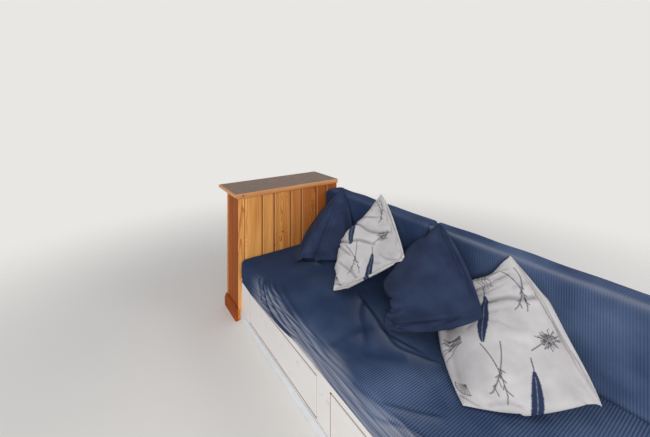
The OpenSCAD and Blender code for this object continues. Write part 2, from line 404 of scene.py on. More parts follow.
@dataclass(frozen=True)
class SatinPaint(Finish):
    """Brushed satin paint on board: nearly flat white with faint strokes, dull marks and a dirty foot."""

    clean: str = "#eceae9"
    shaded: str = "#dedbd8"
    grime: str = "#9d9286"
    dirt: float = 0.5
    scuff: float = 0.28

    def make(self) -> Material:
        """Builds the material."""
        material, add = self.start()
        place = add("ShaderNodeTexCoord").outputs["Object"]
        cloudy = add(NOISE, {"Vector": place, "Scale": 3.5, "Detail": 3.0})
        tone = add(MIX, {"Factor": cloudy, "A": srgb(self.clean), "B": srgb(self.shaded)}, data_type="RGBA")
        # Brush marks run along the boards, 2 to 3 mm apart and up to 300 mm long
        drawn = add(MAPPING, {"Vector": place, "Scale": (3.0, 60.0, 380.0)})
        strokes = add(NOISE, {"Vector": drawn, "Scale": 1.0, "Detail": 2.0})
        streaked = add(RANGE, {"Value": strokes, "From Min": 0.35, "From Max": 0.75, "To Max": 0.25})
        brushed = add(MIX, {"Factor": streaked, "A": tone, "B": srgb(self.shaded)}, data_type="RGBA")
        # Dirt that a mop and feet leave in the lowest 60 mm
        height = add("ShaderNodeSeparateXYZ", {"Vector": place}).outputs["Z"]
        foot = add(RANGE, {"Value": height, "From Max": 0.06, "To Min": self.dirt, "To Max": 0.0})
        patchy = add(NOISE, {"Vector": place, "Scale": 38.0, "Detail": 4.0})
        spread = add(RANGE, {"Value": patchy, "From Min": 0.42, "From Max": 0.7})
        dirt = add(MATH, {0: foot, 1: spread}, operation="MULTIPLY")
        marks = add(NOISE, {"Vector": place, "Scale": 16.0, "Detail": 6.0})
        scuffs = add(RANGE, {"Value": marks, "From Min": 0.66, "From Max": 0.74, "To Max": self.scuff})
        worn = add(MATH, {0: dirt, 1: scuffs}, operation="MAXIMUM")
        colour = add(MIX, {"Factor": worn, "A": brushed, "B": srgb(self.grime)}, data_type="RGBA")
        return self.complete(material, colour, strokes, 0.00025)


@dataclass(frozen=True)
class Pine(Finish):
    """Pine boards: growth rings cut by the board's face, fine fibres and round dark knots."""

    early: str = "#eaab60"
    late: str = "#ae6426"
    red: str = "#96430c"
    knot: str = "#4a230f"
    # The grooves' colour stands for dirt and painted shade, and the beads' colour is a painted highlight
    groove: str = "#6b300e"
    bead: str = "#edb878"
    # Rings stand 3 mm apart in slow pine; drawn at 7 mm so that they show
    ring: float = 0.007
    grain: Grain | None = None

    def place(self, add: AddNode) -> NodeSocket | Node:
        """Gives the place in the board, with Z along the grain.

        Args:
            add: the helper that adds nodes to the material.

        Returns:
            The socket or node that gives the place, in metres.
        """
        if self.grain is None:
            return add(ATTRIBUTE, attribute_name="grain").outputs["Vector"]
        turn = {
            Grain.ALONG_X: (0.0, -math.pi / 2, 0.0),
            Grain.ALONG_Y: (math.pi / 2, 0.0, 0.0),
            Grain.ALONG_Z: (0.0, 0.0, 0.0),
        }[self.grain]
        held = add("ShaderNodeTexCoord").outputs["Object"]
        # The pith lies beside the board
        pith = (0.07, 0.05, 0)
        return add(MAPPING, {"Vector": held, "Rotation": turn, "Location": pith})

    def make(self) -> Material:
        """Builds the material."""
        material, add = self.start()
        place = self.place(add)
        drawn = add(MAPPING, {"Vector": place, "Scale": (1.0, 1.0, 0.16)})
        sway = add(NOISE, {"Vector": drawn, "Scale": 13.0, "Detail": 2.0})
        swing = add(VECTOR_MATH, {0: sway.outputs["Color"], 1: (0.5, 0.5, 0.5)}, operation="SUBTRACT")
        swung = add(VECTOR_MATH, {0: swing, 1: (0.034, 0.034, 0.0)}, operation="MULTIPLY")
        bent = add(VECTOR_MATH, {0: place, 1: swung}, operation="ADD")
        # Knots sit about 90 mm apart where there are any
        knots = add("ShaderNodeTexVoronoi", {"Vector": place, "Scale": 11.0})
        chance = add("ShaderNodeSeparateColor", {"Color": knots.outputs["Color"]})
        there = add(MATH, {0: chance.outputs["Red"], 1: 0.62}, operation="GREATER_THAN")
        size = add(RANGE, {"Value": chance.outputs["Green"], "To Min": 0.08, "To Max": 0.2})
        core = add(RANGE, {"Value": knots.outputs["Distance"], "From Min": size, "From Max": 0.03})
        knot = add(MATH, {0: core, 1: there}, operation="MULTIPLY")
        around = add(
            RANGE, {"Value": knots.outputs["Distance"], "From Min": 0.42, "From Max": 0.05, "To Max": 0.016}
        )
        bulge = add(MATH, {0: around, 1: there}, operation="MULTIPLY")
        flat = add(VECTOR_MATH, {0: bent, 1: (1.0, 1.0, 0.0)}, operation="MULTIPLY")
        radius = add(VECTOR_MATH, {0: flat}, operation="LENGTH")
        moved = add(MATH, {0: radius, 1: bulge}, operation="ADD")
        count = add(MATH, {0: moved, 1: self.ring}, operation="DIVIDE")
        ring = add(MATH, {0: count}, operation="FRACT")
        # A ring darkens slowly into its late wood, and ends at once
        stops = ((0.0, "#303030"), (1.0, "#404040"), (0.45, "#202020"), (0.84, "#c8c8c8"), (0.93, "#ffffff"))
        latewood = add("ShaderNodeValToRGB", {"Fac": ring}, stops=stops)
        fibres_at = add(MAPPING, {"Vector": place, "Scale": (420.0, 420.0, 9.0)})
        fibres = add(NOISE, {"Vector": fibres_at, "Scale": 1.0, "Detail": 2.0})
        broad_at = add(MAPPING, {"Vector": place, "Scale": (34.0, 34.0, 1.6)})
        broad = add(NOISE, {"Vector": broad_at, "Scale": 1.0, "Detail": 2.0})
        streak = add(
            RANGE, {"Value": broad, "From Min": 0.3, "From Max": 0.7, "To Min": -0.25, "To Max": 0.35}
        )
        wood = add(MATH, {0: latewood, 1: streak}, operation="ADD")
        fine = add(MATH, {0: fibres, 1: 0.22, 2: wood}, operation="MULTIPLY_ADD", use_clamp=True)
        tone = add(MIX, {"Factor": fine, "A": srgb(self.early), "B": srgb(self.late)}, data_type="RGBA")
        tint = add(ATTRIBUTE, attribute_name="tint").outputs["Fac"]
        redder = add(MIX, {"Factor": tint, "A": tone, "B": srgb(self.red)}, data_type="RGBA")
        knotted = add(MIX, {"Factor": knot, "A": redder, "B": srgb(self.knot)}, data_type="RGBA")
        # Dirt and painted shade darken the grooves, and the beads beside them carry a painted highlight
        edge = add(ATTRIBUTE, attribute_name="edge").outputs["Fac"]
        dark = add(RANGE, {"Value": edge, "From Max": -1.0, "To Max": 0.85})
        light = add(RANGE, {"Value": edge, "From Max": 1.0, "To Max": 0.35})
        grooved = add(MIX, {"Factor": dark, "A": knotted, "B": srgb(self.groove)}, data_type="RGBA")
        colour = add(MIX, {"Factor": light, "A": grooved, "B": srgb(self.bead)}, data_type="RGBA")
        return self.complete(material, colour, fine, 0.0003)


@dataclass(frozen=True)
class Laminate(Finish):
    """Printed laminate worktop: brown-grey, mottled along its length, with a low even gloss."""

    base: str = "#735747"
    dark: str = "#523d32"
    pale: str = "#8c715f"

    def make(self) -> Material:
        """Builds the material."""
        material, add = self.start()
        place = add("ShaderNodeTexCoord").outputs["Object"]
        drawn = add(MAPPING, {"Vector": place, "Scale": (90.0, 14.0, 90.0)})
        streaks = add(NOISE, {"Vector": drawn, "Scale": 1.0, "Detail": 5.0})
        flecks = add(NOISE, {"Vector": place, "Scale": 420.0, "Detail": 2.0})
        mixed = add(MATH, {0: flecks, 1: 0.5, 2: streaks}, operation="MULTIPLY_ADD")
        colour = add(
            "ShaderNodeValToRGB",
            {"Fac": mixed}, stops=((0.45, self.dark), (1.0, self.pale), (0.72, self.base)),
        )
        return self.complete(material, colour, flecks, 0.00008)


@dataclass(frozen=True)
class BirchPly(Finish):
    """Birch plywood: pale rotary-cut faces, and thin dark plies along the edges."""

    face: str = "#dcc39a"
    figure: str = "#c4a374"
    ply: str = "#9a7446"
    ply_t: float = 0.0015
    grain: Grain | None = None

    def make(self) -> Material:
        """Builds the material."""
        material, add = self.start()
        if self.grain is None:
            place = add(ATTRIBUTE, attribute_name="grain").outputs["Vector"]
        else:
            place = add("ShaderNodeTexCoord").outputs["Object"]
        drawn = add(MAPPING, {"Vector": place, "Scale": (22.0, 22.0, 3.0)})
        figure = add(NOISE, {"Vector": drawn, "Scale": 1.0, "Detail": 4.0, "Distortion": 1.2})
        tone = add("ShaderNodeValToRGB", {"Fac": figure}, stops=((0.35, self.figure), (0.7, self.face)))
        layers = add(ATTRIBUTE, attribute_name="through").outputs["Fac"]
        count = add(MATH, {0: layers, 1: self.ply_t * 2}, operation="DIVIDE")
        phase = add(MATH, {0: count}, operation="FRACT")
        dark = add(MATH, {0: phase, 1: 0.5}, operation="GREATER_THAN")
        soft = add(MATH, {0: dark, 1: 0.6}, operation="MULTIPLY")
        colour = add(MIX, {"Factor": soft, "A": tone, "B": srgb(self.ply)}, data_type="RGBA")
        return self.complete(material, colour, figure, 0.0002)


@dataclass(frozen=True)
class RibbedCotton(Finish):
    """Ribbed cotton cover: crests lighter than the rib hollows, partly wear and partly painted shade; painted
    light towards one end; grey where taut, with painted highlights, and painted shade in the folds.
    """

    hollow: str = "#101c36"
    crest: str = "#2a3f65"
    # The colour of the painted light towards the near end
    painted_light: str = "#6b7fa3"
    # The grey of taut cloth, which is also the painted highlight on the front band and the folds' crests
    stretched_and_lit: str = "#979aa6"

    def make(self) -> Material:
        """Builds the material."""
        material, add = self.start()
        place = add("ShaderNodeTexCoord").outputs["Object"]
        rib = add(ATTRIBUTE, attribute_name="rib").outputs["Fac"]
        # The rib hollows are darker than the crests: partly wear on the crests, partly painted shade in the
        # hollows
        ribbed = add(MIX, {"Factor": rib, "A": srgb(self.hollow), "B": srgb(self.crest)}, data_type="RGBA")
        # Painted light: the cover grows lighter in cloudy patches towards the near end, standing in for the
        # sunlight that falls there
        clouds = add(NOISE, {"Vector": place, "Scale": 3.2, "Detail": 3.0})
        cloudy = add(RANGE, {"Value": clouds, "From Min": 0.36, "From Max": 0.68, "To Min": 0.25})
        along = add("ShaderNodeSeparateXYZ", {"Vector": place}).outputs["X"]
        painted_light_along_x = add(RANGE, {"Value": along, "From Min": -0.9, "From Max": 0.8, "To Min": 0.04})
        amount = add(MATH, {0: cloudy, 1: painted_light_along_x}, operation="MULTIPLY")
        # The painted light spares the hollows, so that the ribs stay clear
        crests = add(RANGE, {"Value": rib, "To Min": 0.35})
        painted_light_amount = add(MATH, {0: amount, 1: crests}, operation="MULTIPLY")
        with_painted_light = add(MIX, {"Factor": painted_light_amount, "A": ribbed, "B": srgb(self.painted_light)}, data_type="RGBA")
        # Above 0 the cloth turns grey where it is taut and takes a painted highlight; below 0 the folds'
        # hollows take painted shade
        stretch = add(ATTRIBUTE, attribute_name="stretch").outputs["Fac"]
        pulled = add(MATH, {0: stretch, 1: 0.85}, operation="MULTIPLY", use_clamp=True)
        greyed_and_lit = add(MIX, {"Factor": pulled, "A": with_painted_light, "B": srgb(self.stretched_and_lit)}, data_type="RGBA")
        fold_shade = add(RANGE, {"Value": stretch, "From Max": -1.0, "To Max": 0.8})
        shaded = add(MIX, {"Factor": fold_shade, "A": greyed_and_lit, "B": srgb(self.hollow)}, data_type="RGBA")
        # Threads lie 0.5 mm apart; drawn at 1.8 mm so that they show
        threads = add(NOISE, {"Vector": place, "Scale": 550.0, "Detail": 1.0})
        speck = add(
            RANGE, {"Value": threads, "From Min": 0.3, "From Max": 0.7, "To Min": 0.86, "To Max": 1.1}
        )
        colour = add(VECTOR_MATH, {0: shaded, 1: speck}, operation="MULTIPLY")
        return self.complete(material, colour, threads, 0.0004)


@dataclass(frozen=True)
class WovenCotton(Finish):
    """Plain woven cotton: even colour, crossing threads, and soft worn light patches."""

    base: str = "#2d3754"
    worn: str = "#414b69"
    # The colour of the painted shade in the folds
    fold_shade: str = "#1a2136"
    ink: str = "#33353d"
    patch: str = "#2a3858"

    def make(self) -> Material:
        """Builds the material."""
        material, add = self.start()
        cut = add(ATTRIBUTE, attribute_name="cut").outputs["Vector"]
        clouds = add(NOISE, {"Vector": cut, "Scale": 9.0, "Detail": 4.0})
        amount = add(RANGE, {"Value": clouds, "From Min": 0.35, "From Max": 0.75})
        plain = add(MIX, {"Factor": amount, "A": srgb(self.base), "B": srgb(self.worn)}, data_type="RGBA")
        # Painted shade: the folds' hollows are darkened for the shade that the cloth beside them casts
        hollow = add(ATTRIBUTE, attribute_name="hollow").outputs["Fac"]
        depth = add(MATH, {0: hollow, 1: 0.55}, operation="MULTIPLY")
        tone = add(MIX, {"Factor": depth, "A": plain, "B": srgb(self.fold_shade)}, data_type="RGBA")
        # Threads lie 0.4 mm apart; drawn at 1.6 mm so that they show
        bands = {"Vector": cut, "Scale": 200.0, "Distortion": 1.5, "Detail": 1.0}
        weave = [
            add("ShaderNodeTexWave", bands, wave_type="BANDS", bands_direction=way).outputs["Fac"]
            for way in ("X", "Y")
        ]
        cloth = add(MATH, {0: weave[0], 1: weave[1]}, operation="MULTIPLY")
        thread = add(RANGE, {"Value": cloth, "To Min": 0.9, "To Max": 1.08})
        ink = add(ATTRIBUTE, attribute_name="ink").outputs["Fac"]
        inked = add(MIX, {"Factor": ink, "A": tone, "B": srgb(self.ink)}, data_type="RGBA")
        patch = add(ATTRIBUTE, attribute_name="patch").outputs["Fac"]
        patched = add(MIX, {"Factor": patch, "A": inked, "B": srgb(self.patch)}, data_type="RGBA")
        colour = add(VECTOR_MATH, {0: patched, 1: thread}, operation="MULTIPLY")
        return self.complete(material, colour, cloth, 0.0003)


class Finishes:
    """The part's materials, each made once."""

    def __init__(self) -> None:
        """Makes every material of the part."""
        self.paint = SatinPaint("white_satin_paint", roughness=0.42).make()
        self.strip_paint = SatinPaint(
            "white_gloss_paint", roughness=0.34, clean="#e9ebee", shaded="#dcdfe3", grime="#8f8a83",
            dirt=0.16, scuff=0.08,
        ).make()
        self.pine = Pine(
            "varnished_pine_boards", roughness=0.5, specular=0.35, coat=0.12, coat_roughness=0.3
        ).make()
        # The same pine in darker colours: painted shade for faces turned away from the light
        self.dark_pine = Pine(
            "stained_pine", roughness=0.6, specular=0.15, coat=0.03, coat_roughness=0.35,
            early="#c0641a", late="#84390a", red="#7c3a10", knot="#34170a", bead="#d99a5c",
        ).make()
        self.lipping = Pine(
            "varnished_pine_lipping", roughness=0.45, specular=0.35, coat=0.12, coat_roughness=0.3,
            early="#e8ab72", late="#b8763e", red="#98501e", knot="#4a230f",
        ).make()
        foot = {
            "roughness": 0.6, "specular": 0.15, "coat": 0.02,
            "early": "#a04a0e", "late": "#742c04", "red": "#7a3a14", "knot": "#34170a",
        }
        self.skirting = Pine("stained_pine_skirting", grain=Grain.ALONG_X, **foot).make()
        self.far_skirting = Pine("stained_pine_far_skirting", grain=Grain.ALONG_Y, **foot).make()
        bare = {"roughness": 0.8, "early": "#e0c394", "late": "#c39a63", "red": "#c08a4e", "knot": "#6e4523"}
        self.softwood = Pine("bare_softwood_posts", grain=Grain.ALONG_Z, **bare).make()
        self.softwood_y = Pine("bare_softwood_runners", grain=Grain.ALONG_Y, **bare).make()
        self.laminate = Laminate("brown_laminate", roughness=0.45, specular=0.3).make()
        self.ply = BirchPly("birch_plywood", roughness=0.7).make()
        self.ply_deck = BirchPly("birch_plywood_deck", roughness=0.75, grain=Grain.ALONG_X).make()
        self.cover = RibbedCotton(
            "ribbed_navy_cotton", roughness=0.85, specular=0.12, sheen=0.03, sheen_tint="#93a3c2"
        ).make()
        self.plain = WovenCotton(
            "plain_navy_cotton", roughness=0.9, specular=0.15, sheen=0.04, sheen_tint="#8e97b5",
            base="#29344f", worn="#374462",
        ).make()
        self.printed = WovenCotton(
            "printed_cotton", roughness=0.88, specular=0.2, sheen=0.04,
            base="#d4d1d2", worn="#bdb9bb", fold_shade="#6d6c73",
        ).make()


# Boards and joinery


@dataclass
class Joinery:
    """One piece of joinery, made of boards that don't move against each other."""

    name: str
    seed: int = 1
    places: list = field(default_factory=list)
    faces: list = field(default_factory=list)
    grains: list = field(default_factory=list)
    tints: list = field(default_factory=list)
    edges: list = field(default_factory=list)
    throughs: list = field(default_factory=list)

    def __post_init__(self) -> None:
        """Starts the piece's own row of random numbers."""
        self.random = random.Random(self.seed)

    def take(
        self, points: np.ndarray, faces: Iterable[Sequence[int]], grain: Grain, tint: float,
        edge: np.ndarray | None = None,
    ) -> None:
        """Adds one board's mesh, and gives it a place of its own in the wood.

        Args:
            points: the board's corners.
            faces: its faces.
            grain: which way its grain runs.
            tint: how red it is, from 0 to 1.
            edge: -1 in a groove, darkened with dirt and painted shade, 1 on a bead, lightened as a painted
                highlight, and 0 elsewhere.
        """
        start = sum(len(p) for p in self.places)
        middle = (points.min(0) + points.max(0)) / 2
        size = points.max(0) - points.min(0)
        order = {Grain.ALONG_X: (1, 2, 0), Grain.ALONG_Y: (2, 0, 1), Grain.ALONG_Z: (0, 1, 2)}[grain]
        local = (points - middle)[:, order]
        pith_angle = self.random.uniform(0, 2 * math.pi)
        pith = self.random.uniform(0.035, 0.10)
        away = np.append(pith * heading(pith_angle), self.random.uniform(0, 9))
        # The trunk's middle runs a little askew of the board, which draws its pointed figure
        lean = np.array([self.random.uniform(-0.03, 0.03), self.random.uniform(-0.03, 0.03), 0])
        self.grains.append(local + away + local[:, 2:3] * lean)
        self.places.append(points)
        self.faces += [[start + i for i in f] for f in faces]
        self.tints.append(np.full(len(points), tint))
        self.edges.append(np.zeros(len(points)) if edge is None else edge)
        thin = int(np.argmin(size))
        self.throughs.append(points[:, thin] - points[:, thin].min())

    def board(
        self, low: Sequence[float], high: Sequence[float], grain: Grain, radius: float = 0.0012,
        tint: float | None = None,
    ) -> None:
        """Adds a planed board with eased edges.

        Args:
            low: its lowest corner.
            high: its highest corner.
            grain: which way its grain runs.
            radius: how far its edges are eased.
            tint: how red it is, or None for a random tint.
        """
        low, high = np.asarray(low, float), np.asarray(high, float)
        tint = self.random.uniform(0.0, 0.35) if tint is None else tint
        bm = bmesh.new()
        bmesh.ops.create_cube(bm, size=1)
        for vert in bm.verts:
            vert.co = Vector((np.array(vert.co) + 0.5) * (high - low) + low)
        bmesh.ops.bevel(
            bm, geom=list(bm.edges), offset=radius, segments=2, profile=0.5, affect="EDGES",
            clamp_overlap=True,
        )
        self.take(*unpack(bm), grain, tint)

    def from_node(self, node: str, grain: Grain, radius: float = 0.0012, tint: float | None = None) -> None:
        """Adds a board that fills the box of a CAD node."""
        low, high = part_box(node)
        self.board(low, high, grain, radius, tint)

    def prism(
        self, outline: np.ndarray, origin: np.ndarray, across: Sequence[float], height: float, tint: float,
        edge: np.ndarray,
    ) -> None:
        """Adds an upright board with a moulded plan outline.

        Args:
            outline: the plan's corners, as distance across the board and out of its face.
            origin: where the outline starts.
            across: the way across the board, with its face on the right hand.
            height: how tall it is.
            tint: how red it is.
            edge: the groove and bead value of each corner of the outline.
        """
        out = np.cross(across, UP)
        foot = origin + outline[:, :1] * np.array(across) + outline[:, 1:] * out
        points = np.vstack([foot, foot + np.array(UP) * height])
        # Seen from above, the outline runs anticlockwise
        n = len(foot)
        faces = [[i, (i + 1) % n, (i + 1) % n + n, i + n] for i in range(n)]
        faces += [list(range(n))[::-1], list(range(n, 2 * n))]
        self.take(points, faces, Grain.ALONG_Z, tint, np.concatenate([edge, edge]))

    def finish(
        self, material: Material, body: str, replaces: Sequence[str]
    ) -> Object:
        """Makes the piece's object and puts it in its place in the part.

        Args:
            material: its finish.
            body: the body that it rides on.
            replaces: the CAD nodes that it stands for.

        Returns:
            The piece.
        """
        obj = make_object(
            self.name, np.vstack(self.places), self.faces, False,
            grain=np.vstack(self.grains), tint=np.concatenate(self.tints),
            edge=np.concatenate(self.edges), through=np.concatenate(self.throughs),
        )
        obj.data.materials.append(material)
        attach(obj, body)
        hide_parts(*replaces)
        report(obj)
        return obj


def dress(nodes: dict, material: Material, *names: str) -> None:
    """Gives CAD nodes that stay in view their finish.

    Args:
        nodes: the frame's nodes by name.
        material: the finish.
        names: the nodes to dress.
    """
    for name in names:
        mesh = nodes[name].data
        mesh.materials.clear()
        mesh.materials.append(material)


@dataclass
class PaintedBase:
    """The bed's painted base: one filled and painted front with two openings, and the boards behind it."""

    nodes: dict
    finishes: Finishes
    edge: float = 0.0015

    def front(self) -> Object:
        """Builds the front frame, whose joints are filled and painted over.

        Returns:
            The front.
        """
        low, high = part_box("sill_rail")
        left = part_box("left_stile")[1]
        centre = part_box("centre_stile")
        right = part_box("right_stile")[0]
        rail_low, rail_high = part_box("head_rail")
        xs = [low.x, left.x, centre[0].x, centre[1].x, right.x, high.x]
        zs = [low.z, high.z, rail_low.z, rail_high.z]
        bm = bmesh.new()
        corner = {(i, k): bm.verts.new((x, low.y, z)) for i, x in enumerate(xs) for k, z in enumerate(zs)}
        for i in range(len(xs) - 1):
            for k in range(len(zs) - 1):
                if not (k == 1 and i in (1, 3)):
                    bm.faces.new([corner[i, k], corner[i + 1, k], corner[i + 1, k + 1], corner[i, k + 1]])
        grown = bmesh.ops.extrude_face_region(bm, geom=list(bm.faces))
        for item in grown["geom"]:
            if isinstance(item, bmesh.types.BMVert):
                item.co.y = high.y
        bmesh.ops.recalc_face_normals(bm, faces=list(bm.faces))
        sharp = [e for e in bm.edges if e.calc_face_angle(0.0) > math.radians(60)]
        bmesh.ops.bevel(bm, geom=sharp, offset=self.edge, segments=3, profile=0.5, affect="EDGES")
        piece = Joinery("painted_front", seed=3)
        piece.take(*unpack(bm), Grain.ALONG_X, 0.0)
        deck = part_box("deck_left")[0]
        piece.board((rail_low.x, high.y, rail_low.z), (rail_high.x, deck.y, rail_high.z), Grain.ALONG_X)
        piece.board((rail_low.x, deck.y, rail_low.z), (rail_high.x, rail_high.y, deck.z), Grain.ALONG_X)
        front = piece.finish(
            self.finishes.paint, "daybed",
            ("head_rail", "sill_rail", "left_stile", "centre_stile", "right_stile"),
        )
        # The wood inside the openings is bare, and takes the pine with painted shade, so it shows as a dark
        # brown line in the gaps
        front.data.materials.append(self.finishes.dark_pine)
        for face in front.data.polygons:
            inside = low.y + 0.003 < face.center.y and low.z + 0.01 < face.center.z < rail_high.z - 0.01
            if inside and abs(face.normal.y) < 0.5 and left.x - 0.02 < face.center.x < right.x + 0.02:
                face.material_index = 1
        return front

    def plinth(self) -> Object:
        """Builds the strip planted along the foot of the front."""
        piece = Joinery("painted_plinth_strip", seed=4)
        piece.from_node("plinth_strip", Grain.ALONG_X, 0.0022)
        return piece.finish(self.finishes.strip_paint, "daybed", ("plinth_strip",))

    def build(self) -> None:
        """Builds and dresses the base."""
        self.front()
        self.plinth()
        dress(self.nodes, self.finishes.paint, "left_end_panel", "right_end_panel")
        dress(self.nodes, self.finishes.ply_deck, "deck_left", "deck_right", "centre_divider", "back_panel")
        dress(self.nodes, self.finishes.softwood_y, "left_bay_runners", "right_bay_runners")


@dataclass
class Drawer:
    """A drawer: a painted front on a plywood box."""

    side: str
    finishes: Finishes

    def build(self) -> None:
        """Builds the front and the box of the drawer."""
        body = f"{self.side}_drawer"
        front = Joinery(f"{body}_painted_front", seed=11)
        front.from_node(f"{body}_front", Grain.ALONG_X, 0.0018)
        front.finish(self.finishes.paint, body, (f"{body}_front",))
        box = Joinery(f"{body}_box", seed=12)
        parts = {
            f"{body}_left_side": Grain.ALONG_Y, f"{body}_right_side": Grain.ALONG_Y,
            f"{body}_back": Grain.ALONG_X, f"{body}_bottom": Grain.ALONG_X,
        }
        for node, grain in parts.items():
            box.from_node(node, grain, 0.0006)
        box.finish(self.finishes.ply, body, tuple(parts))


@dataclass
class Counter:
    """The counter end: tongued and grooved pine boards, a corner strip and a lipped laminate top."""

    nodes: dict
    finishes: Finishes
    wide: float = 0.142
    narrow: float = 0.098
    vee: float = 0.012
    vee_depth: float = 0.005
    bead: float = 0.0105
    quirk: float = 0.0024

    def outline(self, width: float, thick: float, beaded: bool) -> tuple[np.ndarray, np.ndarray]:
        """Draws the plan outline of one board, its face at 0 and its back at -thick.

        Args:
            width: how wide the board is.
            thick: how thick it is.
            beaded: whether a bead runs beside its first groove.

        Returns:
            The corners, and the groove and bead value of each.
        """
        half = self.vee / 2
        # The third number is -1 where the groove takes dirt and painted shade, and 1 where the bead takes a
        # painted highlight
        face = [(0, -self.vee_depth, -1.0), (half * 0.8, -self.vee_depth * 0.25, -0.6)]
        if beaded:
            end = half + self.bead
            face += [
                (half + 0.0005, -0.0006, 0.6), (half + 0.003, 0, 1.0), (end - 0.003, 0, 1.0),
                (end - 0.0005, -0.0006, 0.6), (end + 0.001, -self.quirk, -0.7), (end + 0.0025, -0.0001, 0.0),
                (end + 0.006, 0, 0.0),
            ]
        else:
            face += [(half + 0.001, 0, 0.3), (half + 0.005, 0, 0.0)]
        face += [
            (width - half - 0.012, 0, 0.0), (width - half - 0.0005, -0.0001, -0.45),
            (width - half * 0.8, -self.vee_depth * 0.3, -0.7), (width, -self.vee_depth, -1.0),
        ]
        face += [(width, -thick, 0.0), (0, -thick, 0.0)]
        drawn = np.array(face)
        return drawn[:, :2], drawn[:, 2]

    def wall(
        self, side: str, corner: Sequence[float], across: Sequence[float], widths: Sequence[float],
        tints: Sequence[float], material: Material, seed: int,
    ) -> None:
        """Builds one run of boards.

        Args:
            side: the side of the counter that it clads.
            corner: X and Y of the first board's outer edge.
            across: the way that the boards follow each other, with their face on the right hand.
            widths: the width of each board.
            tints: how red each board is.
            material: their finish.
            seed: picks each board's place in the wood.
        """
        low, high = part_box(f"{side}_boards")
        size = high - low
        piece = Joinery(f"{side}_cladding", seed=seed)
        at = 0.0
        for number, (width, tint) in enumerate(zip(widths, tints)):
            outline, edge = self.outline(width, min(size.x, size.y), number > 0)
            origin = np.array([*corner, low.z]) + at * np.array(across)
            piece.prism(outline, origin, across, size.z, tint, edge)
            at += width
        piece.finish(material, "daybed", (f"{side}_boards",))

    def run_widths(self, length: float) -> list[float]:
        """Splits a length into wide and narrow boards in turn.

        Args:
            length: how long the run is.

        Returns:
            The width of each board, the last one cut to fit.
        """
        widths = []
        left = length
        while left > 1e-6:
            width = self.wide if len(widths) % 2 == 0 else self.narrow
            width = left if left < width + self.vee else width
            widths.append(width)
            left -= width
        return widths

    def boards(self) -> None:
        """Builds the boards on the counter's four sides."""
        pine = self.finishes.pine
        low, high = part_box("bed_side_boards")
        widths = self.run_widths(high.y - low.y)
        # Towards the wall the boards grow redder and darker: partly the wood's age, partly painted shade
        # where less light reaches
        reds = (0.0, 0.06, 0.27, 0.46, 0.66, 0.82, 0.92, 0.95)
        self.wall("bed_side", (high.x, low.y), (0, 1, 0), widths, reds, pine, 21)
        low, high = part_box("far_side_boards")
        widths = self.run_widths(high.y - low.y)
        reds = (0.3, 0.1, 0.25, 0.4, 0.15, 0.3, 0.2, 0.1)
        self.wall("far_side", (low.x, high.y), (0, -1, 0), widths, reds, pine, 22)
        low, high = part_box("room_end_boards")
        halves = [(high.x - low.x) / 2] * 2
        # The room end's boards take the pine with painted shade, for the shade on that face
        dark = self.finishes.dark_pine
        self.wall("room_end", (low.x, low.y), (1, 0, 0), halves, (0.3, 0.45), dark, 23)
        low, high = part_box("wall_end_boards")
        halves = [(high.x - low.x) / 2] * 2
        self.wall("wall_end", (high.x, high.y), (-1, 0, 0), halves, (0.2, 0.3), pine, 24)

    def band(
        self, piece: Joinery, node: str, inner: Sequence[float], radius: float, tints: Sequence[float]
    ) -> None:
        """Builds a band of three boards round the room end and both long sides.

        Args:
            piece: the piece that takes the boards.
            node: the CAD node that it stands for.
            inner: the X, Y and X of its inner faces at the far side, room end and bed side.
            radius: how far its edges are eased.
            tints: how red each board is, from the room end on.
        """
        low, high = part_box(node)
        far_x, end_y, bed_x = inner
        piece.board(low, (high.x, end_y, high.z), Grain.ALONG_X, radius, tints[0])
        piece.board((low.x, end_y, low.z), (far_x, high.y, high.z), Grain.ALONG_Y, radius, tints[1])
        piece.board((bed_x, end_y, low.z), high, Grain.ALONG_Y, radius, tints[2])
        piece.finish(self.finishes.lipping, "daybed", (node,))

    def trim(self) -> None:
        """Builds the corner strip, the worktop, its lipping and the strip under it."""
        strip = Joinery("pine_corner_strip", seed=31)
        strip.from_node("corner_strip", Grain.ALONG_Z, 0.003, 0.0)
        strip.finish(self.finishes.pine, "daybed", ("corner_strip",))
        top = Joinery("laminate_worktop", seed=32)
        top.from_node("counter_top", Grain.ALONG_Y, 0.0004, 0.0)
        top.finish(self.finishes.laminate, "daybed", ("counter_top",))
        low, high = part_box("counter_top")
        lipping = Joinery("pine_lipping", seed=33)
        self.band(lipping, "top_lipping", (low.x, low.y, high.x), 0.0025, (0.15, 0.2, 0.1))
        far_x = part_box("far_side_boards")[0].x
        end_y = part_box("room_end_boards")[0].y
        bed_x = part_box("bed_side_boards")[1].x
        cover = Joinery("pine_cover_strip", seed=34)
        self.band(cover, "top_cover_strip", (far_x, end_y, bed_x), 0.002, (0.3, 0.3, 0.3))

    def build(self) -> None:
        """Builds and dresses the counter."""
        self.boards()
        self.trim()
        dress(self.nodes, self.finishes.softwood, "counter_frame")
        dress(self.nodes, self.finishes.skirting, "room_end_skirting")
        dress(self.nodes, self.finishes.far_skirting, "far_side_skirting")


# Ribbed covers


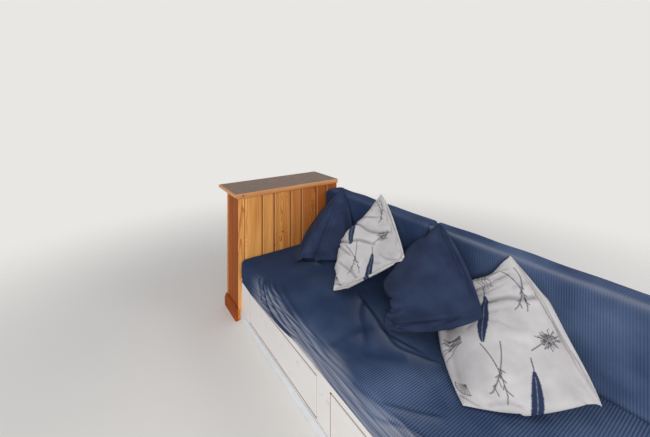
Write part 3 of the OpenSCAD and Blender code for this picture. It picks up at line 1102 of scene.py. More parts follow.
class Ribs:
    """Raises ribs on a cloth surface: a Geometry Nodes tree that every ribbed piece shares."""

    def __init__(self) -> None:
        """Builds the tree, with named inputs for the ribs' sizes."""
        tree = bpy.data.node_groups.new("raise ribs", "GeometryNodeTree")
        add = partial(add_node, tree)
        face = tree.interface
        face.new_socket("Geometry", in_out="INPUT", socket_type="NodeSocketGeometry")
        for name, value in (("Pitch", 0.0095), ("Height", 0.0012)):
            face.new_socket(name, in_out="INPUT", socket_type="NodeSocketFloat").default_value = value
        face.new_socket("Cloth", in_out="INPUT", socket_type="NodeSocketMaterial")
        face.new_socket("Geometry", in_out="OUTPUT", socket_type="NodeSocketGeometry")
        given = add("NodeGroupInput").outputs
        across = add("GeometryNodeInputNamedAttribute", {"Name": "across"}, data_type="FLOAT")
        flat = add("GeometryNodeInputNamedAttribute", {"Name": "flat"}, data_type="FLOAT")
        turns = add(MATH, {0: across, 1: given["Pitch"]}, operation="DIVIDE")
        angle = add(MATH, {0: turns, 1: 2 * math.pi}, operation="MULTIPLY")
        wave = add(MATH, {0: angle}, operation="COSINE")
        raised = add(MATH, {0: wave, 1: 0.5, 2: 0.5}, operation="MULTIPLY_ADD")
        kept = add(MATH, {0: 1.0, 1: flat}, operation="SUBTRACT")
        ribbed = add(MATH, {0: raised, 1: kept}, operation="MULTIPLY")
        # A flat place keeps the middle tone
        level = add(MATH, {0: flat, 1: 0.5, 2: ribbed}, operation="MULTIPLY_ADD")
        lift = add(MATH, {0: ribbed, 1: given["Height"]}, operation="MULTIPLY")
        normal = add("GeometryNodeInputNormal")
        offset = add(VECTOR_MATH, {0: normal, "Scale": lift}, operation="SCALE")
        marked = add(
            "GeometryNodeStoreNamedAttribute",
            {"Geometry": given["Geometry"], "Name": "rib", "Value": level},
            data_type="FLOAT",
            domain="POINT",
        )
        moved = add("GeometryNodeSetPosition", {"Geometry": marked, "Offset": offset})
        real = add("GeometryNodeRealizeInstances", {"Geometry": moved})
        dressed = add("GeometryNodeSetMaterial", {"Geometry": real, "Material": given["Cloth"]})
        add("NodeGroupOutput", {"Geometry": dressed})
        self.tree = tree

    def raise_on(
        self, obj: Object, material: Material, pitch: float, height: float
    ) -> None:
        """Raises the ribs and keeps the result as the object's plain mesh.

        Args:
            obj: the cloth piece, with "across" and "flat" kept for each vertex.
            material: the cloth's finish.
            pitch: from rib to rib.
            height: how far a rib stands up.
        """
        modifier = obj.modifiers.new("ribs", "NODES")
        modifier.node_group = self.tree
        sizes = {"Pitch": pitch, "Height": height, "Cloth": material}
        for item in self.tree.interface.items_tree:
            if item.item_type == "SOCKET" and item.in_out == "INPUT" and item.name in sizes:
                modifier[item.identifier] = sizes[item.name]
        bake(obj)


def bake(obj: Object) -> None:
    """Turns what an object's modifiers make into its plain mesh, and takes them off."""
    graph = bpy.context.evaluated_depsgraph_get()
    graph.update()
    mesh = bpy.data.meshes.new_from_object(obj.evaluated_get(graph))
    obj.modifiers.clear()
    obj.data = mesh
    mesh.name = obj.name


@dataclass
class SweptPad:
    """A padded block in a ribbed cover: a closed section in Y and Z, swept along X and capped.

    Sizes are metres from the bed's own corner.
    """

    name: str
    node: str
    x0: float
    x1: float
    front: float
    back: float
    foot: float
    top: float
    edge_r: float = 0.030
    end_r: float = 0.030
    pitch: float = 0.0095
    rib_h: float = 0.0013
    samples: int = 4
    fill: float = 0.8

    def rows(self) -> np.ndarray:
        """Spaces the rows of the section, closest where the cover creases.

        Returns:
            The place of each row on the outer skin, from the back's foot (most negative)
            over the top to the front's foot, with 0 at the front's top corner.
        """
        depth = self.back - self.front
        height = self.top - self.foot
        outer = [np.linspace(-depth - height, -depth, 6, endpoint=False)]
        # The mattress is deep, and creased over its top and front; a back cushion isn't
        deep = depth > 0.4
        if deep:
            outer.append(np.linspace(-depth, -0.45, 12, endpoint=False))
            outer.append(np.linspace(-0.45, -0.04, 56, endpoint=False))
        else:
            outer.append(np.linspace(-depth, -0.04, 10, endpoint=False))
        outer.append(np.linspace(-0.04, 0.04, 16, endpoint=False))
        outer.append(np.linspace(0.04, height, int(height / 0.0048) if deep else 22))
        return np.unique(np.round(np.concatenate(outer), 6))

    def skin(self, s: np.ndarray) -> tuple[np.ndarray, np.ndarray]:
        """Turns places on the outer skin into points and outward ways of the section.

        Args:
            s: distance from the front's top corner, back over the top below 0 and down
                the front above 0.

        Returns:
            The points and the outward ways, each as Y and Z.
        """
        depth = self.back - self.front
        r = self.edge_r
        point = np.zeros((len(s), 2))
        way = np.zeros((len(s), 2))
        for k, at in enumerate(s):
            if at > r:
                point[k], way[k] = (self.front, self.top - at), (-1, 0)
            elif at > -r:
                a = (at + r) / (2 * r) * math.pi / 2
                point[k] = (self.front + r - r * math.sin(a), self.top - r + r * math.cos(a))
                way[k] = (-math.sin(a), math.cos(a))
            elif at > -depth + r:
                point[k], way[k] = (self.front - at, self.top), (0, 1)
            elif at > -depth - r:
                a = (-depth + r - at) / (2 * r) * math.pi / 2
                point[k] = (self.back - r + r * math.sin(a), self.top - r + r * math.cos(a))
                way[k] = (math.sin(a), math.cos(a))
            else:
                point[k], way[k] = (self.back, self.top + (at + depth)), (1, 0)
        return point, way

    def shape(self, x: np.ndarray, s: np.ndarray, point: np.ndarray, way: np.ndarray) -> np.ndarray:
        """Moves the skin from its plain block to its real form.

        Args:
            x: each place along the bed.
            s: each place on the skin.
            point: each place's Y and Z.
            way: each place's outward way.

        Returns:
            The new Y and Z of each place.
        """
        swell = 0.003 * soft_noise(x, s, 0.4, 5)
        return point + way * swell[:, None]

    def stretch(self, x: np.ndarray, s: np.ndarray) -> np.ndarray:
        """Says how grey the cloth is at each place for being taut, with painted highlights, from 0 to 1."""
        return np.zeros(len(x))

    def flatness(self, x: np.ndarray, s: np.ndarray) -> np.ndarray:
        """Says where the ribs are pulled flat, from 0 to 1."""
        return np.clip(0.12 + 0.12 * soft_noise(x, s, 0.5, 9), 0, 1)

    def inner_rows(self, x: float, lip: np.ndarray) -> tuple[np.ndarray, np.ndarray]:
        """Gives the section's underside at one place along the bed.

        Args:
            x: the place along the bed; not used.
            lip: the last point of the outer skin.

        Returns:
            The points as Y and Z, and the share of the front's inset that each takes.
        """
        ys = lip[0] + (self.back - lip[0]) * np.linspace(0.02, 0.98, 8)
        return np.column_stack([ys, np.full(8, self.foot)]), np.linspace(1, -1, 8)

    def build_mesh(self) -> tuple[np.ndarray, list, dict]:
        """Builds the closed mesh.

        Returns:
            The vertices in the part's frame, the faces and the kept values.
        """
        length = self.x1 - self.x0
        step = self.pitch / self.samples
        xs = np.concatenate([[0.0, 0.0012, 0.003], np.arange(step * 2, length - step, step),
                             [length - 0.003, length - 0.0012, length]]) + self.x0
        xs = np.unique(np.round(xs, 6))
        s = self.rows()
        point, way = self.skin(s)
        n = len(s)
        xx = np.repeat(xs, n)
        ss = np.tile(s, len(xs))
        pp = np.tile(point, (len(xs), 1))
        ww = np.tile(way, (len(xs), 1))
        skin = self.shape(xx, ss, pp, ww).reshape(len(xs), n, 2)
        ways = ww.reshape(len(xs), n, 2)
        near = np.minimum(xs - self.x0, self.x1 - xs)
        r = self.end_r
        inset = np.where(near < r, r - np.sqrt(np.maximum(r * r - (r - near) ** 2, 0)), 0.0)
        loops = []
        for k, x in enumerate(xs):
            lip = skin[k, -1]
            under, share = self.inner_rows(x, lip)
            outer = skin[k] - ways[k] * inset[k]
            below = under + np.column_stack([share * inset[k], np.zeros(len(share))])
            loops.append(np.vstack([outer, below]))
        m = len(loops[0])
        loops = np.array(loops)
        across = np.repeat(xs, m)
        flat = np.zeros((len(xs), m))
        flat[:, :n] = self.flatness(xx, ss).reshape(len(xs), n)
        flat[:, n:] = 1.0
        stretch = np.zeros((len(xs), m))
        stretch[:, :n] = self.stretch(xx, ss).reshape(len(xs), n)
        points = np.column_stack([np.repeat(xs, m), loops.reshape(-1, 2)])
        faces = []
        for i in range(len(xs) - 1):
            a = i * m
            for j in range(m):
                k = (j + 1) % m
                faces.append([a + j, a + k, a + m + k, a + m + j])
        values = {"across": across, "flat": flat.ravel(), "stretch": stretch.ravel()}
        points, faces = self.cap(points, faces, values, loops[0], self.x0, 0, m, True)
        points, faces = self.cap(points, faces, values, loops[-1], self.x1, (len(xs) - 1) * m, m, False)
        return from_bed(points), faces, values

    def cap(
        self, points: np.ndarray, faces: list, values: dict, loop: np.ndarray, x: float, first: int, m: int,
        start: bool,
    ) -> tuple[np.ndarray, list]:
        """Closes one end with rings that shrink to a point.

        Args:
            points: the vertices so far.
            faces: the faces so far.
            values: the kept values so far, which grow.
            loop: the end's loop as Y and Z.
            x: the end's place.
            first: the number of the loop's first vertex.
            m: how many vertices the loop has.
            start: whether it is the first end.

        Returns:
            The vertices and faces with the cap.
        """
        middle = np.array([(loop[:, 0].min() + loop[:, 0].max()) / 2, (self.foot + self.top) / 2])
        rings = 22
        # The start lies against the counter or another cushion, so its ribs are pressed flat
        calm = 1.0 if start else 0.2
        last = first
        for ring in range(1, rings + 1):
            # The last ring is one point
            closed = ring == rings
            shrunk = (middle + (loop - middle) * (1 - ring / rings))[:1 if closed else m]
            count = len(shrunk)
            at = len(points)
            points = np.vstack([points, np.column_stack([np.full(count, x), shrunk])])
            new = {
                "across": self.x1 + (self.top - shrunk[:, 1]),
                "flat": np.full(count, calm),
                "stretch": np.zeros(count),
            }
            for label, more in new.items():
                values[label] = np.concatenate([values[label], more])
            for j in range(m):
                k = (j + 1) % m
                inner = [at] if closed else [at + j, at + k]
                face = [last + j, *inner, last + k]
                faces.append(face if start else face[::-1])
            last = at
        return points, faces

    def build(self, ribs: Ribs, material: Material) -> Object:
        """Builds and dresses the pad.

        Args:
            ribs: the tree that raises the ribs.
            material: the cover's finish.

        Returns:
            The pad.
        """
        points, faces, values = self.build_mesh()
        obj = make_object(self.name, points, faces, True, **values)
        ribs.raise_on(obj, material, self.pitch, self.rib_h)
        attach(obj, "daybed")
        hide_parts(self.node)
        report(obj)
        return obj


@dataclass
class Crease:
    """A fold in cloth along a path on it.

    The path is in millimetres: on the bed's cover as distance along the bed and place on
    the skin, on a scatter cushion as the place on its cut cloth. A lip stands up on the
    path's left side, seen with the second number growing to the left.
    """

    path: Sequence[Sequence[float]]
    depth: float
    width: float
    lip: float = 0.0
    lip_width: float = 0.03

    def lift(self, x: np.ndarray, s: np.ndarray) -> np.ndarray:
        """Gives how far the crease lifts or sinks each place.

        Args:
            x: places along the bed.
            s: places on the skin.

        Returns:
            The lift in metres.
        """
        path = smooth_path(np.asarray(self.path, float) * MM)
        d, side, along = distance_to_path(np.column_stack([x, s]), path)
        ends = smoothstep(0, 0.18, along) * smoothstep(0, 0.18, 1 - along)
        sink = -self.depth * np.exp(-(d / self.width) ** 2)
        away = np.where(side > 0, d, -d)
        raised = self.lip * smoothstep(-self.width * 0.5, self.width, away) * np.exp(
            -np.clip(away, 0, None) / self.lip_width)
        return (sink + raised) * ends * MM


@dataclass
class Mattress(SweptPad):
    """The foam mattress in its taut ribbed cover, whose hem hangs over the base at the far end."""

    # Where the hem runs: along the bed, height, and how far behind the base's front, in mm
    hem: Sequence[Sequence[float]] = (
        (0, 287, -7), (60, 285, -7), (200, 275, -7), (364, 281, -7), (511, 287, -7), (627, 292, -7),
        (703, 298, -6), (745, 301.6, -3), (800, 301.6, 12), (930, 301.6, 15), (1010, 301.6, 8),
        (1100, 301.6, 3), (1266, 301.6, 0), (1600, 301.6, -2), (2120, 301.6, -2),
    )
    creases: Sequence[Crease] = (
        # The fold whose lip crosses the front and runs down to the hem's step
        Crease([(340, -50), (375, -14), (400, 18), (430, 44), (458, 85), (500, 107), (537, 120), (635, 127),
                (710, 134), (790, 142)], 9.0, 0.010, -4.0, 0.030),
        # The fan of folds beside it
        Crease([(330, -70), (380, -26), (440, 12), (530, 52), (640, 86), (760, 118)], 7.0, 0.010, 4.0, 0.014),
        Crease([(345, -80), (400, -38), (480, -6), (620, 30), (800, 72), (960, 112)], 6.0, 0.011, 4.0, 0.016),
        Crease([(300, -8), (345, 30), (372, 80), (384, 140)], 5.0, 0.012, 3.5, 0.02),
        Crease([(360, -90), (460, -52), (600, -22), (820, 12), (1060, 48)], 5.0, 0.013, 3.0, 0.02),
        Crease([(430, -110), (560, -70), (700, -48), (900, -20), (1150, 14)], 3.2, 0.016, 2.0, 0.03),
        # Tension lines along the front
        Crease([(900, 52), (1110, 46), (1259, 47), (1380, 58), (1450, 36), (1520, -10), (1600, -60)],
               3.6, 0.009, 2.5, 0.02),
        Crease([(1000, 84), (1200, 92), (1420, 100), (1700, 84)], 3.2, 0.012, 2.0, 0.02),
        Crease([(1250, 20), (1450, -20), (1650, -70), (1850, -90)], 3.0, 0.010, 2.5, 0.02),
        Crease([(1500, 60), (1650, 20), (1800, -25), (2000, -40)], 3.0, 0.011, 2.0, 0.02),
        # Creases over the top, between the cushions and the front
        Crease([(780, -450), (867, -419), (1040, -367), (1144, -328), (1239, -337), (1318, -354),
                (1400, -372)], 6.0, 0.012, 3.5, 0.03),
        Crease([(1100, -345), (1130, -330), (1253, -298), (1357, -340), (1440, -389)], 5.0, 0.010, 3.0, 0.03),
        Crease([(1090, -20), (1078, -60), (1058, -200), (1101, -310)], 2.6, 0.022, 0.0),
        Crease([(1410, -20), (1451, -47), (1528, -110), (1604, -187)], 3.6, 0.010, 2.5, 0.03),
        Crease([(1180, -120), (1270, -190), (1330, -290)], 2.6, 0.026, 0.0),
        Crease([(860, -440), (960, -330), (1080, -250), (1200, -160)], 3.4, 0.014, 2.0, 0.03),
        Crease([(230, -330), (300, -420), (350, -520)], 5.0, 0.014, 3.0, 0.03),
        Crease([(130, -560), (260, -470), (420, -450)], 4.5, 0.014, 3.0, 0.03),
        Crease([(60, -500), (150, -420), (290, -380)], 4.0, 0.014, 2.5, 0.03),
    )

    def hem_at(self, x: np.ndarray | float) -> tuple[np.ndarray, np.ndarray]:
        """Gives the hem's height and depth along the bed, in metres."""
        table = np.asarray(self.hem, float) * MM
        return np.interp(x, table[:, 0], table[:, 1]), np.interp(x, table[:, 0], table[:, 2])

    def shape(self, x: np.ndarray, s: np.ndarray, point: np.ndarray, way: np.ndarray) -> np.ndarray:
        """Drapes the cover: swells, creases, and a front that runs down to the hem.

        Args:
            x: each place along the bed.
            s: each place on the skin.
            point: each place's Y and Z.
            way: each place's outward way.

        Returns:
            The new Y and Z of each place.
        """
        height = self.top - self.foot
        hem_z, hem_y = self.hem_at(x)
        down = np.clip(s / height, 0, 1)
        on_front = s > 0
        point = point.copy()
        # The front's rows are spread from the top edge down to the hem
        long_front = self.top - hem_z
        place = point[:, 1].copy()
        place[on_front] = self.top - (self.top - place[on_front]) * long_front[on_front] / height
        point[:, 1] = place
        # It leans from the front of the foam to the hem's depth
        lean = smoothstep(0.25, 1.0, down) * (hem_y - self.front)
        point[:, 0] += np.where(on_front, lean, 0)
        sag = -0.0035 + 0.0035 * soft_noise(x, s, 0.5, 4) + 0.0010 * soft_noise(x, s, 0.16, 14)
        belly = 0.004 * np.sin(np.clip(down, 0, 1) * math.pi)
        calm = 1 - smoothstep(0.84, 1.0, down)
        lift = np.where(on_front, belly * calm + 0.5 * sag * calm, sag)
        lift = lift + self.folds(x, s) * np.where(on_front, np.maximum(calm, 0.25), 1)
        # A stitched line runs round the hem, 12 mm up
        stitched = np.exp(-((down - 0.915) / 0.012) ** 2)
        lift -= 0.0007 * stitched * on_front
        # The back edge lies against the wall and under the back cushions
        lift *= smoothstep(-0.84, -0.76, s)
        out = point + way * lift[:, None]
        out[:, 1] = np.minimum(out[:, 1], self.top + 0.0035)
        # What hangs below the base's top stays in front of it
        base_top = 0.3005
        gap = 0.0035
        out[:, 0] = np.where(out[:, 1] < base_top, np.minimum(out[:, 0], -gap), out[:, 0])
        return out

    def inner_rows(self, x: float, lip: np.ndarray) -> tuple[np.ndarray, np.ndarray]:
        """Turns the hem inwards and closes the section under the foam.

        Args:
            x: the place along the bed; not used.
            lip: the hem's outer edge.

        Returns:
            The points as Y and Z, and the share of the front's inset that each takes.
        """
        thick = 0.0022
        under = self.foot + 0.0012
        z = lip[1]
        rise = max(0.0, under - z)
        y_in = lip[0] + thick
        points = [(lip[0] + thick * 0.5, z - 0.0006), (y_in, z)]
        points += [(y_in, z + rise * t) for t in (0.5, 1.0)]
        y0 = max(y_in + 0.004, 0.004)
        ys = y0 + (self.back - 0.002 - y0) * np.linspace(0, 1, 7)
        points += [(y, under) for y in ys]
        share = [1.0] * 4 + list(np.linspace(1, -1, 7))
        return np.array(points), np.array(share)

    def folds(self, x: np.ndarray, s: np.ndarray) -> np.ndarray:
        """Adds up what all the creases lift or sink, in metres."""
        return sum(crease.lift(x, s) for crease in self.creases)

    def stretch(self, x: np.ndarray, s: np.ndarray) -> np.ndarray:
        """Greys the front's taut cloth and paints a highlight on it and on the folds' crests, and paints
        shade into the folds' hollows.
        """
        edge = -0.006 + 0.016 * soft_noise(x, s * 0, 0.3, 21)
        band = smoothstep(edge - 0.05, edge + 0.045, s)
        wave = 0.55 + 0.35 * soft_noise(x * 0.35, s * 5, 0.09, 22)
        greyed_and_lit = band * smoothstep(0.20, 0.42, x + s * 0.35) * wave
        # Painted light: the folds' lips are lightened and their hollows darkened
        return np.clip(greyed_and_lit + 130 * self.folds(x, s), -1, 1)

    def flatness(self, x: np.ndarray, s: np.ndarray) -> np.ndarray:
        """Keeps the ribs clear at the near half of the top and calms them at the far end."""
        far = 1 - smoothstep(0.6, 1.3, x)
        cloud = 0.15 * soft_noise(x, s, 0.3, 23)
        front = smoothstep(0.0, 0.06, s) * 0.4
        return np.clip(0.02 + 0.75 * far + cloud + front, 0, 0.95)


@dataclass
class BackCushion(SweptPad):
    """A long back cushion in the same ribbed cover, with a crowned front and a rounded top edge."""

    seed: int = 1
    slump: float = 0.0
    # How strong the painted highlight band along the top front edge is
    painted_light: float = 0.1

    def shape(self, x: np.ndarray, s: np.ndarray, point: np.ndarray, way: np.ndarray) -> np.ndarray:
        """Crowns the faces and lets the top corner at the counter slump.

        Args:
            x: each place along the bed.
            s: each place on the skin.
            point: each place's Y and Z.
            way: each place's outward way.

        Returns:
            The new Y and Z of each place.
        """
        height = self.top - self.foot
        along = (x - self.x0) / (self.x1 - self.x0)
        down = np.clip(s / height, 0, 1)
        crown = 0.006 * np.sin(np.clip(along, 0, 1) * math.pi) ** 0.4 * np.sin(down * math.pi)
        sag = 0.0025 * soft_noise(x, s, 0.35, self.seed) - 0.003
        lift = np.where(s > 0, crown + sag, sag)
        out = point + way * lift[:, None]
        corner = self.slump * (1 - smoothstep(0.0, 0.11, x - self.x0)) ** 2
        share = np.clip((out[:, 1] - self.foot) / height, 0, 1) ** 3
        out[:, 1] -= corner * share
        out[:, 0] = np.minimum(out[:, 0], self.back)
        return out

    def stretch(self, x: np.ndarray, s: np.ndarray) -> np.ndarray:
        """Paints a highlight band along the top front edge."""
        return self.painted_light * np.exp(-((s + 0.005) / 0.022) ** 2)

    def flatness(self, x: np.ndarray, s: np.ndarray) -> np.ndarray:
        """Calms the ribs, most of all on the top."""
        return np.clip(0.45 + 0.15 * soft_noise(x, s, 0.4, self.seed + 3) + 0.2 * (s < 0), 0, 1)


# Scatter cushions


@dataclass
class Print:
    """A generic shore print in pen strokes on the flat cloth: kelp, stalks, thistles, grass and a shell."""

    size: float
    seed: int

    def strokes(self) -> list[tuple[np.ndarray, float, bool]]:
        """Draws the print.

        Returns:
            For each stroke its path in metres, its width, and whether it is navy.
        """
        rng = random.Random(self.seed)
        out = []
        spots = (
            (0.24, 0.16, self.stalks), (0.62, 0.20, self.thistle), (0.90, 0.44, self.kelp),
            (0.34, 0.52, self.kelp), (0.70, 0.62, self.stalks), (0.14, 0.74, self.thistle),
            (0.42, 0.86, self.grass), (0.84, 0.86, self.shell), (0.08, 0.42, self.ripples),
        )
        for u, v, kind in spots:
            centre = np.array([u, v]) * self.size
            centre = centre + np.array([rng.uniform(-0.02, 0.02), rng.uniform(-0.02, 0.02)])
            out += kind(rng, centre)
        return out

    def stalks(self, rng: random.Random, centre: np.ndarray) -> list:
        """Draws two long bent grass stalks with seeds at their tips."""
        out = []
        for number in range(2):
            angle = rng.uniform(-0.3, 0.3) + number * 0.5
            way = heading(angle)
            side = np.array([-way[1], way[0]])
            t = np.linspace(-1, 1, 12)[:, None]
            path = centre + 0.085 * t * way + 0.014 * (t ** 2 - number) * side
            out.append((path, 0.0026, False))
            for k in range(6, 12):
                turn = angle + rng.uniform(0.4, 0.8) * (1 if k % 2 else -1)
                tip = path[k] + rng.uniform(0.010, 0.024) * heading(turn)
                out.append((np.array([path[k], tip]), 0.0022, False))
        return out

    def thistle(self, rng: random.Random, centre: np.ndarray) -> list:
        """Draws a dense prickly seed head."""
        out = []
        for number in range(52):
            angle = number * 2.4
            way = np.array([math.cos(angle), 1.25 * math.sin(angle)])
            inner = rng.uniform(0.002, 0.020)
            outer = inner + rng.uniform(0.008, 0.018)
            bend = np.array([-way[1], way[0]]) * rng.uniform(-0.004, 0.004)
            points = [centre + way * inner, centre + way * (inner + outer) / 2 + bend, centre + way * outer]
            out.append((np.array(points), rng.uniform(0.0012, 0.0022), False))
        stem = centre + np.outer(np.linspace(0, 0.07, 6), (0.3, 1.0))
        out.append((stem, 0.0024, False))
        return out

    def grass(self, rng: random.Random, centre: np.ndarray) -> list:
        """Draws a tuft of dune grass."""
        out = []
        for _ in range(13):
            lean = rng.uniform(-0.9, 0.9)
            tall = rng.uniform(0.06, 0.12)
            foot = centre + np.array([rng.uniform(-0.018, 0.018), -0.04])
            t = np.linspace(0, 1, 8)[:, None]
            out.append((foot + t * [[0, tall]] + t ** 2 * [[lean * 0.06, 0]], 0.0018, False))
        return out

    def shell(self, rng: random.Random, centre: np.ndarray) -> list:
        """Draws a fan shell."""
        turn = rng.uniform(-40, 40)

        def at(angle: float, radius: float) -> np.ndarray:
            """Gives a place round the shell's middle."""
            return centre + radius * heading(math.radians(angle))

        out = [(np.array([at(angle + turn, 0.038) for angle in range(20, 170, 10)]), 0.0024, False)]
        foot = at(270 + turn, 0.012)
        for angle in range(24, 160, 18):
            out.append((np.array([foot, at(angle + turn, 0.037)]), 0.0014, False))
        return out

    def kelp(self, rng: random.Random, centre: np.ndarray) -> list:
        """Draws a long bent navy blade of kelp with a pale midrib and a stem."""
        angle = rng.uniform(0.2, 0.9)
        way = heading(angle)
        side = np.array([-way[1], way[0]])

        def spine(t: float) -> np.ndarray:
            """Gives a place on the midrib."""
            return centre + way * t + side * 0.006 * math.sin(t * 24)

        out = [(np.array([spine(t) for t in np.linspace(-0.12, -0.07, 5)]), 0.0028, True)]
        for t in np.linspace(-0.08, 0.105, 60):
            reach = 0.019 * max(0.0, 1 - ((t - 0.01) / 0.098) ** 2) ** 0.8 * rng.uniform(0.88, 1.06)
            for sign in (-1, 1):
                if reach > 0.0035:
                    start = spine(t) + side * sign * 0.0028
                    tip = spine(t + 0.35 * reach) + side * sign * reach
                    out.append((np.array([start, tip]), 0.0040, True))
        return out

    def ripples(self, rng: random.Random, centre: np.ndarray) -> list:
        """Draws ripples left by the tide."""
        out = []
        for number in range(5):
            x = np.linspace(-0.05, 0.05, 14) * rng.uniform(0.6, 1.1)
            y = 0.004 * np.sin(x * 110 + rng.uniform(0, 6)) + (number - 2) * 0.012
            out.append((centre + np.column_stack([x, y]), 0.0016, False))
        return out

    def draw(self, flat: np.ndarray) -> tuple[np.ndarray, np.ndarray]:
        """Finds how much ink each place of the cloth holds.

        Args:
            flat: places on the flat cloth, in metres.

        Returns:
            The grey ink and the navy ink of each place, from 0 to 1.
        """
        soft = 0.0016
        strength = 0.9
        ink = np.zeros(len(flat))
        navy = np.zeros(len(flat))
        for path, width, is_navy in self.strokes():
            reach = width / 2 + soft
            low, high = path.min(0) - reach, path.max(0) + reach
            near = np.nonzero(((flat > low) & (flat < high)).all(1))[0]
            if len(near) == 0:
                continue
            d, _, _ = distance_to_path(flat[near], path)
            value = 1 - smoothstep(width / 2 - soft * 0.3, reach, d)
            target = navy if is_navy else ink
            target[near] = np.maximum(target[near], value)
        return ink * strength, navy


# Faces that the scatter cushions rest against, in metres from the bed's own corner
BED_TOP = 0.445
BACK_FACE = 0.7287
# How far from the front sheet the back one is cut from the cloth
BACK_CUT = 0.7
SEAM_SHARPNESS = 0.7
TINY = 1e-5


class Blocks:
    """What the scatter cushions rest against while they are simulated."""

    def __init__(self) -> None:
        """Sets up the mattress, the back cushions and the counter's boards as plain blocks."""
        self.objects: list[Object] = []
        self.box("mattress_block", (-0.05, -0.01, 0.30), (2.12, 0.90, 0.4445))
        self.box("back_block", (-0.05, 0.7290, 0.44), (2.12, 0.8544, 0.8590))
        self.box("counter_block", (-0.20, -0.02, 0.0), (0.0, 0.90, 0.90))

    def box(self, name: str, low: Sequence[float], high: Sequence[float]) -> None:
        """Adds a plain block between two corners."""
        points = [(x, y, z) for x in (low[0], high[0]) for y in (low[1], high[1]) for z in (low[2], high[2])]
        faces = [[0, 1, 3, 2], [4, 6, 7, 5], [0, 4, 5, 1], [2, 3, 7, 6], [0, 2, 6, 4], [1, 5, 7, 3]]
        self.add(name, from_bed(points), faces)

    def add(self, name: str, points: np.ndarray, faces: Sequence[Sequence[int]]) -> None:
        """Adds a shape that cloth can't pass."""
        obj = make_object(name, points, faces, False)
        obj.modifiers.new("solid", "COLLISION")
        obj.collision.thickness_outer = 0.002
        obj.collision.cloth_friction = 20
        self.objects.append(obj)

    def remove(self) -> None:
        """Takes the blocks away once everything has settled."""
        for obj in self.objects:
            bpy.data.objects.remove(obj)
        self.objects.clear()


@dataclass(frozen=True)
class Tuck:
    """A place on a cushion's cut cloth that is drawn in towards its middle, all in millimetres."""

    across: float
    down: float
    reach: float
    pull: float

    def move(self, cut: np.ndarray, places: np.ndarray) -> np.ndarray:
        """Draws the cloth in round the place; a negative pull pushes it out.

        Args:
            cut: each vertex's place on the cut cloth.
            places: each vertex's place in space.

        Returns:
            The new places.
        """
        d = np.linalg.norm(cut[:, :2] - np.array([self.across, self.down]) * MM, axis=1)
        way = places.mean(0) - places[d.argmin()]
        way /= np.linalg.norm(way)
        weight = np.exp(-(d / (self.reach * MM)) ** 2)
        return places + weight[:, None] * way * self.pull * MM


